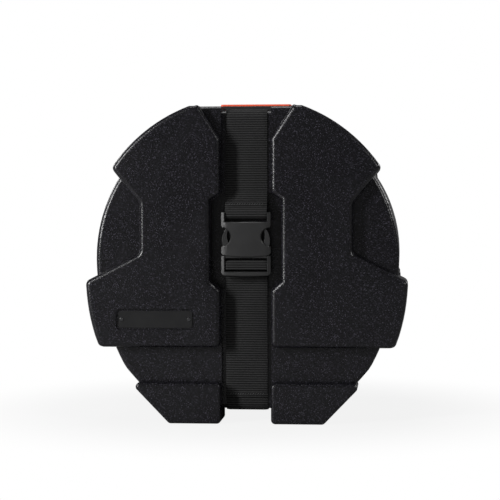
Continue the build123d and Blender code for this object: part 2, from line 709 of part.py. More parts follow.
with BuildPart() as buckle_socket:
    with BuildSketch(buckle_plane(0)):
        with BuildLine():
            Polyline(
                (0, SLOT_BOTTOM),
                (SLOT_HALF, SLOT_BOTTOM),
                (SLOT_HALF, BUCKLE_TOP),
                (BUCKLE_HALF, BUCKLE_TOP),
                (BUCKLE_HALF, WINDOW_TOP + BUCKLE_CORNER),
                (WINDOW_EDGE, WINDOW_TOP),
            )
            ThreePointArc(
                (WINDOW_EDGE, WINDOW_TOP), (WINDOW_WAIST, WINDOW_MIDDLE), (WINDOW_EDGE, WINDOW_BOTTOM)
            )
            Polyline(
                (WINDOW_EDGE, WINDOW_BOTTOM),
                (BUCKLE_HALF, WINDOW_BOTTOM - BUCKLE_EDGE),
                (BUCKLE_HALF, SOCKET_BOTTOM + BUCKLE_CORNER),
                (BUCKLE_HALF - BUCKLE_CORNER, SOCKET_BOTTOM),
            )
            ThreePointArc(
                (BUCKLE_HALF - BUCKLE_CORNER, SOCKET_BOTTOM),
                (BUCKLE_HALF / 2, SOCKET_CHIN + (SOCKET_BOTTOM - SOCKET_CHIN) / 4),
                (0, SOCKET_CHIN),
            )
            Line((0, SOCKET_CHIN), (0, SLOT_BOTTOM))
        make_face()
        mirror(about=Plane.YZ)
    extrude(amount=BUCKLE_THICK)
    rims = buckle_socket.faces().filter_by(Axis.Y)
    chamfer(rims.edges(), length=BUCKLE_EDGE)
    with BuildSketch(buckle_plane(BUCKLE_SKIN)):
        with BuildLine():
            Polyline(
                (-MOUTH_HALF, SOCKET_CHIN - CUT_OVERRUN),
                (MOUTH_HALF, SOCKET_CHIN - CUT_OVERRUN),
                (MOUTH_HALF, WINDOW_BOTTOM),
                (BUCKLE_HALF + CUT_OVERRUN, WINDOW_BOTTOM),
                (BUCKLE_HALF + CUT_OVERRUN, WINDOW_TOP),
                (MOUTH_HALF, WINDOW_TOP),
                (MOUTH_HALF - CAVITY_ROUND, CAVITY_TOP),
                (-MOUTH_HALF + CAVITY_ROUND, CAVITY_TOP),
                (-MOUTH_HALF, WINDOW_TOP),
                (-BUCKLE_HALF - CUT_OVERRUN, WINDOW_TOP),
                (-BUCKLE_HALF - CUT_OVERRUN, WINDOW_BOTTOM),
                (-MOUTH_HALF, WINDOW_BOTTOM),
                close=True,
            )
        make_face()
    extrude(amount=CAVITY_THICK, mode=Mode.SUBTRACT)
    with BuildSketch(buckle_plane(BUCKLE_THICK)):
        with Locations((0, (PANEL_TOP + PANEL_BOTTOM) / 2)):
            RectangleRounded(2 * PANEL_WIDTH_SHARE * BUCKLE_HALF, PANEL_TOP - PANEL_BOTTOM, CAVITY_ROUND)
    extrude(amount=-PANEL_DEPTH, mode=Mode.SUBTRACT)
    add(cross_bar(BUCKLE_TOP, BAR_HEIGHT, BAR_THICK, BAR_INSET, BAR_EDGE))

# The plug: side rails, a lower bar, a crossbar inside the socket, a guide and the middle bar of the adjuster
CROSSBAR_THICK = CAVITY_THICK - 2 * BUCKLE_GAP
CROSSBAR_BOTTOM = CROSSBAR_TOP - CROSSBAR_HEIGHT
CROSSBAR_HALF = MOUTH_HALF - CROSSBAR_SIDE_GAP
GUIDE_TOP = CROSSBAR_TOP + GUIDE_TOP_SHARE * CAVITY_REACH

with BuildPart() as buckle_plug:
    with BuildSketch(buckle_plane(0)):
        with BuildLine():
            Polyline(
                (0, LOWER_BAR_TOP),
                (SLOT_HALF, LOWER_BAR_TOP),
                (SLOT_HALF, PLUG_TOP),
                (BUCKLE_HALF, PLUG_TOP),
                (BUCKLE_HALF, LOWER_BAR_TOP - PLUG_CHIN),
                (BUCKLE_HALF - BUCKLE_CORNER, PLUG_BOTTOM + PLUG_CHIN),
            )
            ThreePointArc(
                (BUCKLE_HALF - BUCKLE_CORNER, PLUG_BOTTOM + PLUG_CHIN),
                (BUCKLE_HALF / 2, PLUG_BOTTOM + PLUG_CHIN / 4),
                (0, PLUG_BOTTOM),
            )
            Line((0, PLUG_BOTTOM), (0, LOWER_BAR_TOP))
        make_face()
        mirror(about=Plane.YZ)
    extrude(amount=BUCKLE_THICK)
    rims = buckle_plug.faces().filter_by(Axis.Y)
    chamfer(rims.edges(), length=BUCKLE_EDGE)
    with BuildSketch(buckle_plane(BUCKLE_SKIN + BUCKLE_GAP)):
        with Locations((0, (CROSSBAR_TOP + CROSSBAR_BOTTOM) / 2)):
            Rectangle(2 * CROSSBAR_HALF, CROSSBAR_TOP - CROSSBAR_BOTTOM)
        with Locations((0, (PLUG_TOP - BUCKLE_EDGE + CROSSBAR_BOTTOM) / 2)):
            Rectangle(2 * (SLOT_HALF + BUCKLE_EDGE), PLUG_TOP - BUCKLE_EDGE - CROSSBAR_BOTTOM)
    extrude(amount=CROSSBAR_THICK)
    with BuildSketch(buckle_plane((BUCKLE_THICK - GUIDE_THICK) / 2)):
        with Locations((0, (CROSSBAR_TOP + GUIDE_TOP) / 2)):
            Rectangle(2 * GUIDE_HALF, GUIDE_TOP - CROSSBAR_TOP)
    extrude(amount=GUIDE_THICK)
    add(
        cross_bar(
            MIDDLE_BAR_TOP,
            MIDDLE_BAR_TOP - MIDDLE_BAR_BOTTOM,
            MIDDLE_BAR_THICK,
            MIDDLE_BAR_INSET,
            MIDDLE_BAR_EDGE,
        )
    )


def spring_arm(side):
    """One of the plug's sprung arms: a round root, a bowed arm and a thumb pad with a locking shoulder."""

    def at(share):
        return (side * share[0] * BUCKLE_HALF, CROSSBAR_TOP + share[1] * CAVITY_REACH)

    root = (side * SPRING_ROOT_SHARE * BUCKLE_HALF, CROSSBAR_TOP + FIT_GAP + SPRING_ROOT_RADIUS)
    with BuildPart() as arm:
        with BuildSketch(buckle_plane((BUCKLE_THICK - SPRING_THICK) / 2)):
            with Locations(root):
                Circle(SPRING_ROOT_RADIUS)
            with BuildLine():
                Polyline(root, at(SPRING_NECK_SHARE), at(SPRING_THROAT_SHARE), at(SPRING_SHOULDER_SHARE))
                ThreePointArc(at(SPRING_SHOULDER_SHARE), at(SPRING_PAD_SHARE), at(SPRING_TIP_SHARE))
                Line(at(SPRING_TIP_SHARE), at(SPRING_TIP_INNER_SHARE))
                ThreePointArc(at(SPRING_TIP_INNER_SHARE), at(SPRING_INNER_SHARE), at(SPRING_ARMPIT_SHARE))
                Line(at(SPRING_ARMPIT_SHARE), root)
            make_face()
        extrude(amount=SPRING_THICK)
    return arm.part


buckle_arm_left = spring_arm(-1)
buckle_arm_right = spring_arm(1)


# Carry handle: a bail that lies flat behind the top edge and swings up on two pins
BRACKET_FLOOR = AXIS_HEIGHT + CROWN_TOP
PIVOT_Z = BRACKET_FLOOR + BRACKET_THICK + EYE_GAP + EYE_RADIUS
GRIP_BOTTOM = BRACKET_FLOOR + GRIP_LIFT
GRIP_TOP = GRIP_BOTTOM + GRIP_THICK
BAIL_ARM_INNER = HANDLE_HALF - BAIL_ARM_WIDTH
GRIP_BACK = GRIP_FRONT + GRIP_WIDTH
GRIP_MIDDLE = (GRIP_FRONT + GRIP_BACK) / 2

with BuildPart() as handle_bail:
    with BuildSketch(Plane.YZ.offset(-HANDLE_HALF)) as grip_section:
        with Locations((GRIP_MIDDLE, (GRIP_BOTTOM + GRIP_TOP) / 2)):
            Rectangle(GRIP_WIDTH, GRIP_THICK)
        fillet(grip_section.vertices().group_by(Axis.Y)[0], radius=GRIP_ROUND)
        fillet(grip_section.vertices().group_by(Axis.Y)[-1], radius=GRIP_EDGE)
    extrude(amount=2 * HANDLE_HALF)
    for inner in (-HANDLE_HALF, BAIL_ARM_INNER):
        with BuildSketch(Plane.YZ.offset(inner)):
            with Locations(((GRIP_MIDDLE + PIVOT_Y) / 2, PIVOT_Z)):
                Rectangle(PIVOT_Y - GRIP_MIDDLE, BAIL_ARM_THICK)
            with Locations((PIVOT_Y, PIVOT_Z)):
                Circle(EYE_RADIUS)
        extrude(amount=BAIL_ARM_WIDTH)
    with BuildSketch(Plane.YZ.offset(-HANDLE_HALF - CUT_OVERRUN)):
        with Locations((PIVOT_Y, PIVOT_Z)):
            Circle(HANDLE_PIN_RADIUS + RUNNING_GAP)
    extrude(amount=2 * (HANDLE_HALF + CUT_OVERRUN), mode=Mode.SUBTRACT)

# The grip's coloured pad lies on top of the bail's grip
with BuildPart() as handle_grip_pad:
    with BuildSketch(Plane.XY.offset(GRIP_TOP)):
        with Locations((0, GRIP_MIDDLE)):
            RectangleRounded(
                2 * (HANDLE_HALF - GRIP_PAD_MARGIN), GRIP_WIDTH - 2 * GRIP_PAD_MARGIN, GRIP_ROUND
            )
    extrude(amount=GRIP_PAD_THICK)
    fillet(handle_grip_pad.edges().group_by(Axis.Z)[-1], radius=GRIP_PAD_ROUND)

CHEEKS = (BAIL_ARM_INNER - BRACKET_SIDE_GAP - BRACKET_THICK, HANDLE_HALF + BRACKET_SIDE_GAP)


def bracket(side):
    """A handle bracket: a floor plate with a wing for its screws and two cheeks for the pin."""
    wing_end = CHEEKS[1] + BRACKET_THICK + BRACKET_WING
    with BuildPart() as plate:
        with BuildSketch(Plane.XY.offset(BRACKET_FLOOR)):
            with Locations((side * (CHEEKS[0] + wing_end) / 2, PIVOT_Y)):
                RectangleRounded(wing_end - CHEEKS[0], 2 * BRACKET_HALF_LENGTH, BRACKET_THICK)
            with Locations(*[place for place in SCREWS if place[0] * side > 0]):
                Circle(SCREW_RADIUS + PIN_GAP, mode=Mode.SUBTRACT)
        extrude(amount=BRACKET_THICK)
        for inner in CHEEKS:
            start = inner if side > 0 else -inner - BRACKET_THICK
            with BuildSketch(Plane.YZ.offset(start)):
                with BuildLine():
                    Polyline(
                        (PIVOT_Y - EYE_RADIUS, PIVOT_Z),
                        (PIVOT_Y - 2 * EYE_RADIUS, BRACKET_FLOOR + BRACKET_THICK / 2),
                        (PIVOT_Y + 2 * EYE_RADIUS, BRACKET_FLOOR + BRACKET_THICK / 2),
                        (PIVOT_Y + EYE_RADIUS, PIVOT_Z),
                    )
                    ThreePointArc(
                        (PIVOT_Y + EYE_RADIUS, PIVOT_Z),
                        (PIVOT_Y, PIVOT_Z + EYE_RADIUS),
                        (PIVOT_Y - EYE_RADIUS, PIVOT_Z),
                    )
                make_face()
                with Locations((PIVOT_Y, PIVOT_Z)):
                    Circle(HANDLE_PIN_RADIUS + PIN_GAP, mode=Mode.SUBTRACT)
            extrude(amount=BRACKET_THICK)
    return plate.part


handle_bracket_left = bracket(-1)
handle_bracket_right = bracket(1)

PIN_START = CHEEKS[0] - HANDLE_PIN_HEAD_RISE
PIN_END = CHEEKS[1] + BRACKET_THICK + TOUCH_GAP

with BuildPart() as handle_pins:
    for side in (-1, 1):
        start = PIN_START if side > 0 else -PIN_END - HANDLE_PIN_HEAD_RISE
        length = PIN_END + HANDLE_PIN_HEAD_RISE - PIN_START
        with BuildSketch(Plane.YZ.offset(start)):
            with Locations((PIVOT_Y, PIVOT_Z)):
                Circle(HANDLE_PIN_RADIUS)
        extrude(amount=length)
        with BuildSketch(Plane.YZ.offset(side * PIN_END)):
            with Locations((PIVOT_Y, PIVOT_Z)):
                Circle(HANDLE_PIN_HEAD)
        extrude(amount=side * HANDLE_PIN_HEAD_RISE)

with BuildPart() as handle_screws:
    with BuildSketch(Plane.XY.offset(BRACKET_FLOOR + BRACKET_THICK)):
        with Locations(*SCREWS):
            Circle(SCREW_HEAD_RADIUS)
    extrude(amount=SCREW_HEAD_RISE)
    heads = handle_screws.faces().group_by(Axis.Z)[-1]
    fillet(heads.edges(), radius=SCREW_HEAD_RISE * HEAD_ROUND_SHARE)
    with BuildSketch(Plane.XY.offset(BRACKET_FLOOR + BRACKET_THICK)):
        with Locations(*SCREWS):
            Circle(SCREW_RADIUS)
    extrude(amount=-(BRACKET_FLOOR + BRACKET_THICK - BACKING_TOP + BACKING_THICK + NUT_THICK))

# A plate and two nuts under the crown spread each bracket's load
with BuildPart() as handle_backing_plates:
    with BuildSketch(Plane.XY.offset(BACKING_TOP)):
        with Locations(*[(side * (BACKING_START + BACKING_END) / 2, PIVOT_Y) for side in (-1, 1)]):
            Rectangle(BACKING_END - BACKING_START, 2 * BRACKET_HALF_LENGTH)
        with Locations(*SCREWS):
            Circle(SCREW_RADIUS + PIN_GAP, mode=Mode.SUBTRACT)
    extrude(amount=-BACKING_THICK)

with BuildPart() as handle_nuts:
    with BuildSketch(Plane.XY.offset(BACKING_TOP - BACKING_THICK - TOUCH_GAP / 2)):
        with Locations(*SCREWS):
            RegularPolygon(NUT_RADIUS, side_count=6)
            Circle(SCREW_RADIUS + PIN_GAP, mode=Mode.SUBTRACT)
    extrude(amount=-NUT_THICK)


# Each piece is written to a file of its own
PIECES = {
    "lid_shell": lid_shell.part,
    "lid_side_foam": lid_side_foam,
    "lid_end_foam": lid_end_foam,
    "name_plate": name_plate.part,
    "name_plate_rivets": name_plate_rivets.part,
    "base_shell": base_shell.part,
    "base_side_foam": base_side_foam.part,
    "base_end_foam": base_end_foam,
    "strap_rear": strap_rear.part,
    "strap_rivets": strap_rivets.part,
    "strap_washers": strap_washers.part,
    "strap_upper": strap_upper,
    "strap_lower": strap_lower,
    "strap_tail": strap_tail.part,
    "strap_loop": strap_loop,
    "buckle_socket": buckle_socket.part,
    "buckle_plug": buckle_plug.part,
    "buckle_arm_left": buckle_arm_left,
    "buckle_arm_right": buckle_arm_right,
    "handle_bail": handle_bail.part,
    "handle_grip_pad": handle_grip_pad.part,
    "handle_bracket_left": handle_bracket_left,
    "handle_bracket_right": handle_bracket_right,
    "handle_pins": handle_pins.part,
    "handle_screws": handle_screws.part,
    "handle_backing_plates": handle_backing_plates.part,
    "handle_nuts": handle_nuts.part,
}
os.makedirs("parts", exist_ok=True)
for name, piece in PIECES.items():
    piece.label = name
    export_step(piece, f"parts/{name}.step")
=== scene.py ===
import math

import bmesh
import bpy
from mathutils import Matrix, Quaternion, Vector, noise
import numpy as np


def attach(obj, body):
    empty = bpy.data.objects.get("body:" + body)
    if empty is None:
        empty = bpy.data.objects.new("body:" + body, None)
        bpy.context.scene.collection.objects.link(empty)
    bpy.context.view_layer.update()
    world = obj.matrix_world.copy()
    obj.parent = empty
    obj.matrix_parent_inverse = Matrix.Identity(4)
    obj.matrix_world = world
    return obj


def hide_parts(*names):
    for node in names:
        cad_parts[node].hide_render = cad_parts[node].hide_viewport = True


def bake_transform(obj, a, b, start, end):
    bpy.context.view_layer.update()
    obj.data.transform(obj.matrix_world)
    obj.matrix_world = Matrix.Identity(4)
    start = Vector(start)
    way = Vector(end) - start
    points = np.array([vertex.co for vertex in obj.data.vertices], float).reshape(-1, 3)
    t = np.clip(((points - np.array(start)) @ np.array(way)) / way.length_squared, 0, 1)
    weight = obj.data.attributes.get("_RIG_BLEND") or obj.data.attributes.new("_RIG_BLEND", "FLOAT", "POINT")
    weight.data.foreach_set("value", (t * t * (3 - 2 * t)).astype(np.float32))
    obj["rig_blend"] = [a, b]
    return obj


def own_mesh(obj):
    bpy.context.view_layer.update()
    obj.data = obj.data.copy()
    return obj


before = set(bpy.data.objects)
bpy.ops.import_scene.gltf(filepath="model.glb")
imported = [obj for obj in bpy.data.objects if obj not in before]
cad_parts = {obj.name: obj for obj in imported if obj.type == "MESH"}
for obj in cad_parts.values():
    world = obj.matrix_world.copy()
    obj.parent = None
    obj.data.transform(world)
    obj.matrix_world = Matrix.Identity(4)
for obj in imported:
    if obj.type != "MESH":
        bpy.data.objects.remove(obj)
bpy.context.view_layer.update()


# Lid shell: the shallow half of the case, rotationally moulded in black polyethylene.
# Its grained skin, rounded pads, feet and strap channel come out of the mould in one piece.
# Its sides are fitted to the case's outline, and its crown rises a little towards the face.
WELD = 2e-6
FLAT_ENOUGH = math.radians(0.4)
CUT_FLAT = math.radians(0.03)
CUT_REACH = 1e-6
CREASE = math.radians(34)
SOFT_STEPS = 3

SHELL_BLACK = (0.0018, 0.0017, 0.0022, 1)
# The lighter black is painted sheen, laid on the grain's high points.
SHELL_SHEEN_BLACK = (0.0100, 0.0095, 0.0135, 1)
# Pale dots of painted glint, standing in for light caught by the grain.
SHELL_PAINTED_GLINT = (0.112, 0.105, 0.138, 1)
SHELL_ROUGHNESS = (0.25, 0.30)
SHELL_GRAIN = 700
SHELL_PEBBLE = 520
SHELL_PEBBLE_DEPTH = 0.00025
SHELL_GRAIN_DEPTH = 0.0003
SHELL_RELIEF = 0.5
SHELL_GLINT_SCALE = 860
GLINT_CHANCE = (0.50, 1)
GLINT_POWER = 2.2
GLINT_REACH = (0.05, 0.62)
SHELL_SHEEN_SPAN = (0.44, 0.68)
SHELL_WAVE = 18
NOISE_SPAN = (0.3, 0.7)


def material_with(name, slots):
    """A new material, its node tree and its shader, with these values on the shader's sockets."""
    material = bpy.data.materials.new(name)
    material.use_nodes = True
    shader = material.node_tree.nodes["Principled BSDF"]
    for socket, value in slots.items():
        shader.inputs[socket].default_value = value
    return material, material.node_tree, shader


def add_node(tree, kind, settings=None, sockets=None):
    """A node of this kind with its settings and the values of its sockets."""
    node = tree.nodes.new(kind)
    for key, value in (settings or {}).items():
        setattr(node, key, value)
    for key, value in (sockets or {}).items():
        node.inputs[key].default_value = value
    return node


def remapped(tree, source, span, result=(0, 1)):
    """The source's values with their span taken to the result's."""
    node = add_node(
        tree,
        "ShaderNodeMapRange",
        sockets={
            "From Min": span[0],
            "From Max": span[1],
            "To Min": result[0],
            "To Max": result[1],
        },
    )
    tree.links.new(source, node.inputs["Value"])
    return node.outputs["Result"]


def bumped(tree, height, strength, distance, over=None, invert=False):
    """The normal of a surface with this height on it, over another normal where there is one."""
    node = add_node(
        tree, "ShaderNodeBump", {"invert": invert}, {"Strength": strength, "Distance": distance}
    )
    tree.links.new(height, node.inputs["Height"])
    if over:
        tree.links.new(over, node.inputs["Normal"])
    return node.outputs["Normal"]


def shell_skin(name):
    """Rotomoulded polyethylene: fine orange peel grain over small pebbles, with painted glints as pale dots
    and painted sheen where the grain stands high.
    """
    material, tree, shader = material_with(name, {"IOR": 1.5, "Specular IOR Level": 0.4})
    place = add_node(tree, "ShaderNodeTexCoord")
    # Painted glints: scattered cells give pale dots in the colour.
    glint_cells = add_node(tree, "ShaderNodeTexVoronoi", {"feature": "F1"}, {"Scale": SHELL_GLINT_SCALE})
    tree.links.new(place.outputs["Object"], glint_cells.inputs["Vector"])
    chance = add_node(tree, "ShaderNodeSeparateColor")
    tree.links.new(glint_cells.outputs["Color"], chance.inputs["Color"])
    picked = remapped(tree, chance.outputs["Red"], GLINT_CHANCE)
    strength = add_node(tree, "ShaderNodeMath", {"operation": "POWER"}, {1: GLINT_POWER})
    tree.links.new(picked, strength.inputs[0])
    near = remapped(tree, glint_cells.outputs["Distance"], GLINT_REACH, (1, 0))
    glint = add_node(tree, "ShaderNodeMath", {"operation": "MULTIPLY"})
    tree.links.new(strength.outputs[0], glint.inputs[0])
    tree.links.new(near, glint.inputs[1])
    grain = add_node(
        tree,
        "ShaderNodeTexNoise",
        sockets={"Scale": SHELL_GRAIN, "Detail": 3, "Roughness": 0.6, "Distortion": 0.3},
    )
    pebble = add_node(
        tree,
        "ShaderNodeTexVoronoi",
        {"feature": "SMOOTH_F1"},
        {"Scale": SHELL_PEBBLE, "Smoothness": 0.55, "Randomness": 1},
    )
    wave = add_node(tree, "ShaderNodeTexNoise", sockets={"Scale": SHELL_WAVE, "Detail": 3})
    for texture in (grain, pebble, wave):
        tree.links.new(place.outputs["Object"], texture.inputs["Vector"])
    # Painted sheen: the black turns lighter where the grain stands high.
    colour = add_node(tree, "ShaderNodeMix", {"data_type": "RGBA"})
    colour.inputs[6].default_value = SHELL_BLACK
    colour.inputs[7].default_value = SHELL_SHEEN_BLACK
    tree.links.new(remapped(tree, grain.outputs["Fac"], SHELL_SHEEN_SPAN), colour.inputs[0])
    # The painted glints are mixed into the colour last.
    glinted = add_node(tree, "ShaderNodeMix", {"data_type": "RGBA"})
    glinted.inputs[7].default_value = SHELL_PAINTED_GLINT
    tree.links.new(glint.outputs[0], glinted.inputs[0])
    tree.links.new(colour.outputs[2], glinted.inputs[6])
    tree.links.new(glinted.outputs[2], shader.inputs["Base Color"])
    gloss = remapped(tree, wave.outputs["Fac"], NOISE_SPAN, SHELL_ROUGHNESS)
    tree.links.new(gloss, shader.inputs["Roughness"])
    pebbled = bumped(
        tree, pebble.outputs["Distance"], SHELL_RELIEF, SHELL_PEBBLE_DEPTH, invert=True
    )
    grained = bumped(
        tree, grain.outputs["Fac"], SHELL_RELIEF, SHELL_GRAIN_DEPTH, over=pebbled
    )
    tree.links.new(grained, shader.inputs["Normal"])
    return material


def new_piece(name, mesh):
    """An object of this mesh, at the origin and in the scene."""
    piece = bpy.data.objects.new(name, mesh)
    bpy.context.scene.collection.objects.link(piece)
    return piece


def settled(piece):
    """The piece with its modifiers made part of its mesh."""
    depsgraph = bpy.context.evaluated_depsgraph_get()
    mesh = bpy.data.meshes.new_from_object(piece.evaluated_get(depsgraph))
    piece.modifiers.clear()
    piece.data = mesh
    return piece


def welded_copy(node, name, material, soften=0, reshape=None, cuts=(), filled=None):
    """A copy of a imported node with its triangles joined, its flats whole and its edges softened.
    On the way a shallow hollow inside a box may be closed, the mesh cut at some places across,
    and each of its points moved."""
    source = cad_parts[node].data
    mesh = bpy.data.meshes.new(name)
    mesh.from_pydata(
        [v.co[:] for v in source.vertices], [], [tuple(p.vertices) for p in source.polygons]
    )
    work = bmesh.new()
    work.from_mesh(mesh)
    bmesh.ops.remove_doubles(work, verts=work.verts[:], dist=WELD)
    if filled:
        low, high = filled
        hollow = [
            face
            for face in work.faces
            if all(low[i] <= vert.co[i] <= high[i] for vert in face.verts for i in range(3))
        ]
        bmesh.ops.delete(work, geom=hollow, context="FACES")
        rim = [edge for edge in work.edges if edge.is_boundary]
        bmesh.ops.holes_fill(work, edges=rim, sides=0)
        bmesh.ops.dissolve_limit(
            work, angle_limit=CUT_FLAT, verts=work.verts[:], edges=work.edges[:]
        )
    for across in cuts:
        whole = work.verts[:] + work.edges[:] + work.faces[:]
        bmesh.ops.bisect_plane(
            work, geom=whole, dist=CUT_REACH, plane_co=(across, 0, 0), plane_no=(1, 0, 0)
        )
    if reshape:
        for vert in work.verts:
            vert.co = reshape(vert.co)
        bmesh.ops.remove_doubles(work, verts=work.verts[:], dist=WELD)
    flat = CUT_FLAT if cuts else FLAT_ENOUGH
    bmesh.ops.dissolve_limit(work, angle_limit=flat, verts=work.verts[:], edges=work.edges[:])
    work.to_mesh(mesh)
    work.free()
    piece = new_piece(name, mesh)
    if soften:
        bevel = piece.modifiers.new("soft edges", "BEVEL")
        bevel.width = soften
        bevel.segments = SOFT_STEPS
        bevel.limit_method = "ANGLE"
        bevel.angle_limit = CREASE
        bevel.miter_outer = "MITER_ARC"
        settled(piece)
    piece.data.shade_smooth()
    piece.data.set_sharp_from_angle(angle=CREASE)
    weights = piece.modifiers.new("flat faces", "WEIGHTED_NORMAL")
    weights.keep_sharp = True
    settled(piece)
    piece.data.materials.clear()
    piece.data.materials.append(material)
    return piece


def stands_for(piece, node, body):
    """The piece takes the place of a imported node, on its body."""
    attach(piece, body)
    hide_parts(node)


AXIS_Z = 0.197
SIDE_REACH = (0.80, 0.92)
SIDE_FIT = (
    (-0.0300, 0.190, 0.0000),
    (-0.0660, 0.184, -0.0012),
    (-0.0945, 0.177, -0.0016),
    (-0.1045, 0.174, -0.0012),
    (-0.1075, 0.152, 0.0018),
    (-0.1190, 0.146, 0.0025),
    (-0.1306, 0.138, 0.0034),
    (-0.1390, 0.133, 0.0020),
    (-0.1480, 0.131, 0.0003),
    (-0.1600, 0.123, 0.0006),
    (-0.1720, 0.112, 0.0016),
    (-0.1840, 0.100, 0.0009),
    (-0.1970, 0.092, 0.0004),
)


def share_between(value, start, end):
    """How far a value has come from the start to the end, from 0 to 1."""
    return min(1, max(0, (value - start) / (end - start)))


def sides_fitted(point):
    """The point moved sideways with the outline: rows of height, half width and small shift."""
    height = point.z - AXIS_Z
    for above, below in zip(SIDE_FIT[:-1], SIDE_FIT[1:]):
        if below[0] <= height <= above[0]:
            share = (above[0] - height) / (above[0] - below[0])
            half_width = above[1] + share * (below[1] - above[1])
            shift = above[2] + share * (below[2] - above[2])
            reach = share_between(abs(point.x) / half_width, *SIDE_REACH)
            return (point.x + math.copysign(shift * reach, point.x), point.y, point.z)
    return tuple(point)


CROWN_HALF = (0.061, 0.057)
CROWN_RISE = 0.0019
CROWN_FADE_Y = (-0.052, -0.120)
CROWN_FADE_Z = (0.345, 0.370)


def crown_raised(point):
    """The point of the lid, with its crown between the pads a little higher towards its face."""
    place = Vector(sides_fitted(point))
    middle = share_between(abs(place.x), *CROWN_HALF)
    front = share_between(place.y, *CROWN_FADE_Y)
    high = share_between(place.z, *CROWN_FADE_Z)
    place.z += CROWN_RISE * middle * front * high
    return tuple(place)


lid_skin = shell_skin("moulded_black_lid")
lid = welded_copy("lid_shell", "lid_moulding", lid_skin, reshape=crown_raised)
stands_for(lid, "lid_shell", "lid")


# Base shell: the deep half, moulded in the same polyethylene, with the lip that enters the lid.
# It carries the handle on its flat crown and the webbing's rivets in its back, and its side
# wings stand out less than the lid's.
INNER_WALL = 0.1775
PAD_REACH = 0.194
WING_TRIM = 0.009
WING_RAMP = (0.0050, 0.0165)
WING_FADE = (0.110, 0.135)


def wings_drawn_in(point):
    """The point of the base, with what stands past its round wall at the sides drawn in."""
    place = Vector(sides_fitted(point))
    height = abs(place.z - AXIS_Z)
    past = abs(place.x) - math.sqrt(max(0, INNER_WALL**2 - height**2))
    reach = share_between(past, *WING_RAMP)
    fade = share_between(height, *WING_FADE)
    place.x -= WING_TRIM * place.x / PAD_REACH * reach * (1 - fade)
    return tuple(place)


base_skin = shell_skin("moulded_black_base")
base = welded_copy("base_shell", "base_moulding", base_skin, reshape=wings_drawn_in)
stands_for(base, "base_shell", "base")


# Foam linings: charcoal open-cell sheet, a band round the inside and a disc on each end wall.
# They are cut soft-edged and glued in, so their faces are a little uneven.
FOAM_COLOUR = (0.055, 0.055, 0.060, 1)
FOAM_PIT_SHADE = (0.012, 0.012, 0.013, 1)
FOAM_CELL = 700
FOAM_CELL_SPAN = (0.1, 0.55)
FOAM_RELIEF = 0.7
FOAM_PIT_DEPTH = 0.0006
FOAM_VOXEL = 0.003
FOAM_LUMP = 0.00035
FOAM_LUMP_SCALE = 30
FOAM_WEAR_ROUNDS = 3
FOAM_WEAR = 0.5


def foam_sheet():
    """Open-cell foam: matt, with painted shade in its small cell pits."""
    material, tree, shader = material_with(
        "charcoal_foam", {"Roughness": 0.95, "Specular IOR Level": 0.1}
    )
    place = add_node(tree, "ShaderNodeTexCoord")
    cells = add_node(tree, "ShaderNodeTexVoronoi", {"feature": "F1"}, {"Scale": FOAM_CELL})
    tree.links.new(place.outputs["Object"], cells.inputs["Vector"])
    # Painted shade: the colour darkens towards each cell's middle, where the pit lies.
    shade = add_node(tree, "ShaderNodeValToRGB")
    shade.color_ramp.elements[0].position = FOAM_CELL_SPAN[0]
    shade.color_ramp.elements[0].color = FOAM_PIT_SHADE
    shade.color_ramp.elements[1].position = FOAM_CELL_SPAN[1]
    shade.color_ramp.elements[1].color = FOAM_COLOUR
    tree.links.new(cells.outputs["Distance"], shade.inputs["Fac"])
    tree.links.new(shade.outputs["Color"], shader.inputs["Base Color"])
    pitted = bumped(tree, cells.outputs["Distance"], FOAM_RELIEF, FOAM_PIT_DEPTH)
    tree.links.new(pitted, shader.inputs["Normal"])
    return material


foam_finish = foam_sheet()
for node, name, body in (
    ("lid_side_foam", "lid_foam_band", "lid"),
    ("lid_end_foam", "lid_foam_disc", "lid"),
    ("base_side_foam", "base_foam_band", "base"),
    ("base_end_foam", "base_foam_disc", "base"),
):
    foam = welded_copy(node, name, foam_finish)
    remesh = foam.modifiers.new("rounded cut", "REMESH")
    remesh.mode = "VOXEL"
    remesh.voxel_size = FOAM_VOXEL
    remesh.use_smooth_shade = True
    smooth = foam.modifiers.new("worn edges", "SMOOTH")
    smooth.iterations = FOAM_WEAR_ROUNDS
    smooth.factor = FOAM_WEAR
    settled(foam)
    sheet = [(v.co.copy(), v.normal.copy()) for v in foam.data.vertices]
    uneven = [
        co + normal * (FOAM_LUMP * (noise.noise(co * FOAM_LUMP_SCALE) - 1)) for co, normal in sheet
    ]
    foam.data.vertices.foreach_set("co", [value for point in uneven for value in point])
    foam.data.update()
    foam.data.materials.clear()
    foam.data.materials.append(foam_finish)
    stands_for(foam, node, body)


# Name plate: a thin satin plate, left bare, in the pocket of the lid's lower left wing.
# Two small blind rivets hold it near its ends.
PLATE_EDGE = 0.00035
SATIN_WAVE = 60
SATIN_RELIEF = 0.4


def satin_black(name, colour, roughness, speckle, depth):
    """A smooth moulded or painted black with a faint fine texture."""
    material, tree, shader = material_with(name, {"Base Color": colour, "IOR": 1.5})
    place = add_node(tree, "ShaderNodeTexCoord")
    fine = add_node(
        tree, "ShaderNodeTexNoise", sockets={"Scale": speckle, "Detail": 4, "Roughness": 0.6}
    )
    broad = add_node(tree, "ShaderNodeTexNoise", sockets={"Scale": SATIN_WAVE, "Detail": 3})
    tree.links.new(place.outputs["Object"], fine.inputs["Vector"])
    tree.links.new(place.outputs["Object"], broad.inputs["Vector"])
    gloss = remapped(tree, broad.outputs["Fac"], NOISE_SPAN, roughness)
    tree.links.new(gloss, shader.inputs["Roughness"])
    textured = bumped(tree, fine.outputs["Fac"], SATIN_RELIEF, depth)
    tree.links.new(textured, shader.inputs["Normal"])
    return material


plate_finish = satin_black(
    "plate_black",
    colour=(0.006, 0.006, 0.0066, 1),
    roughness=(0.30, 0.38),
    speckle=2500,
    depth=0.00003,
)
plate = welded_copy("name_plate", "bare_name_plate", plate_finish, soften=PLATE_EDGE)
stands_for(plate, "name_plate", "lid")

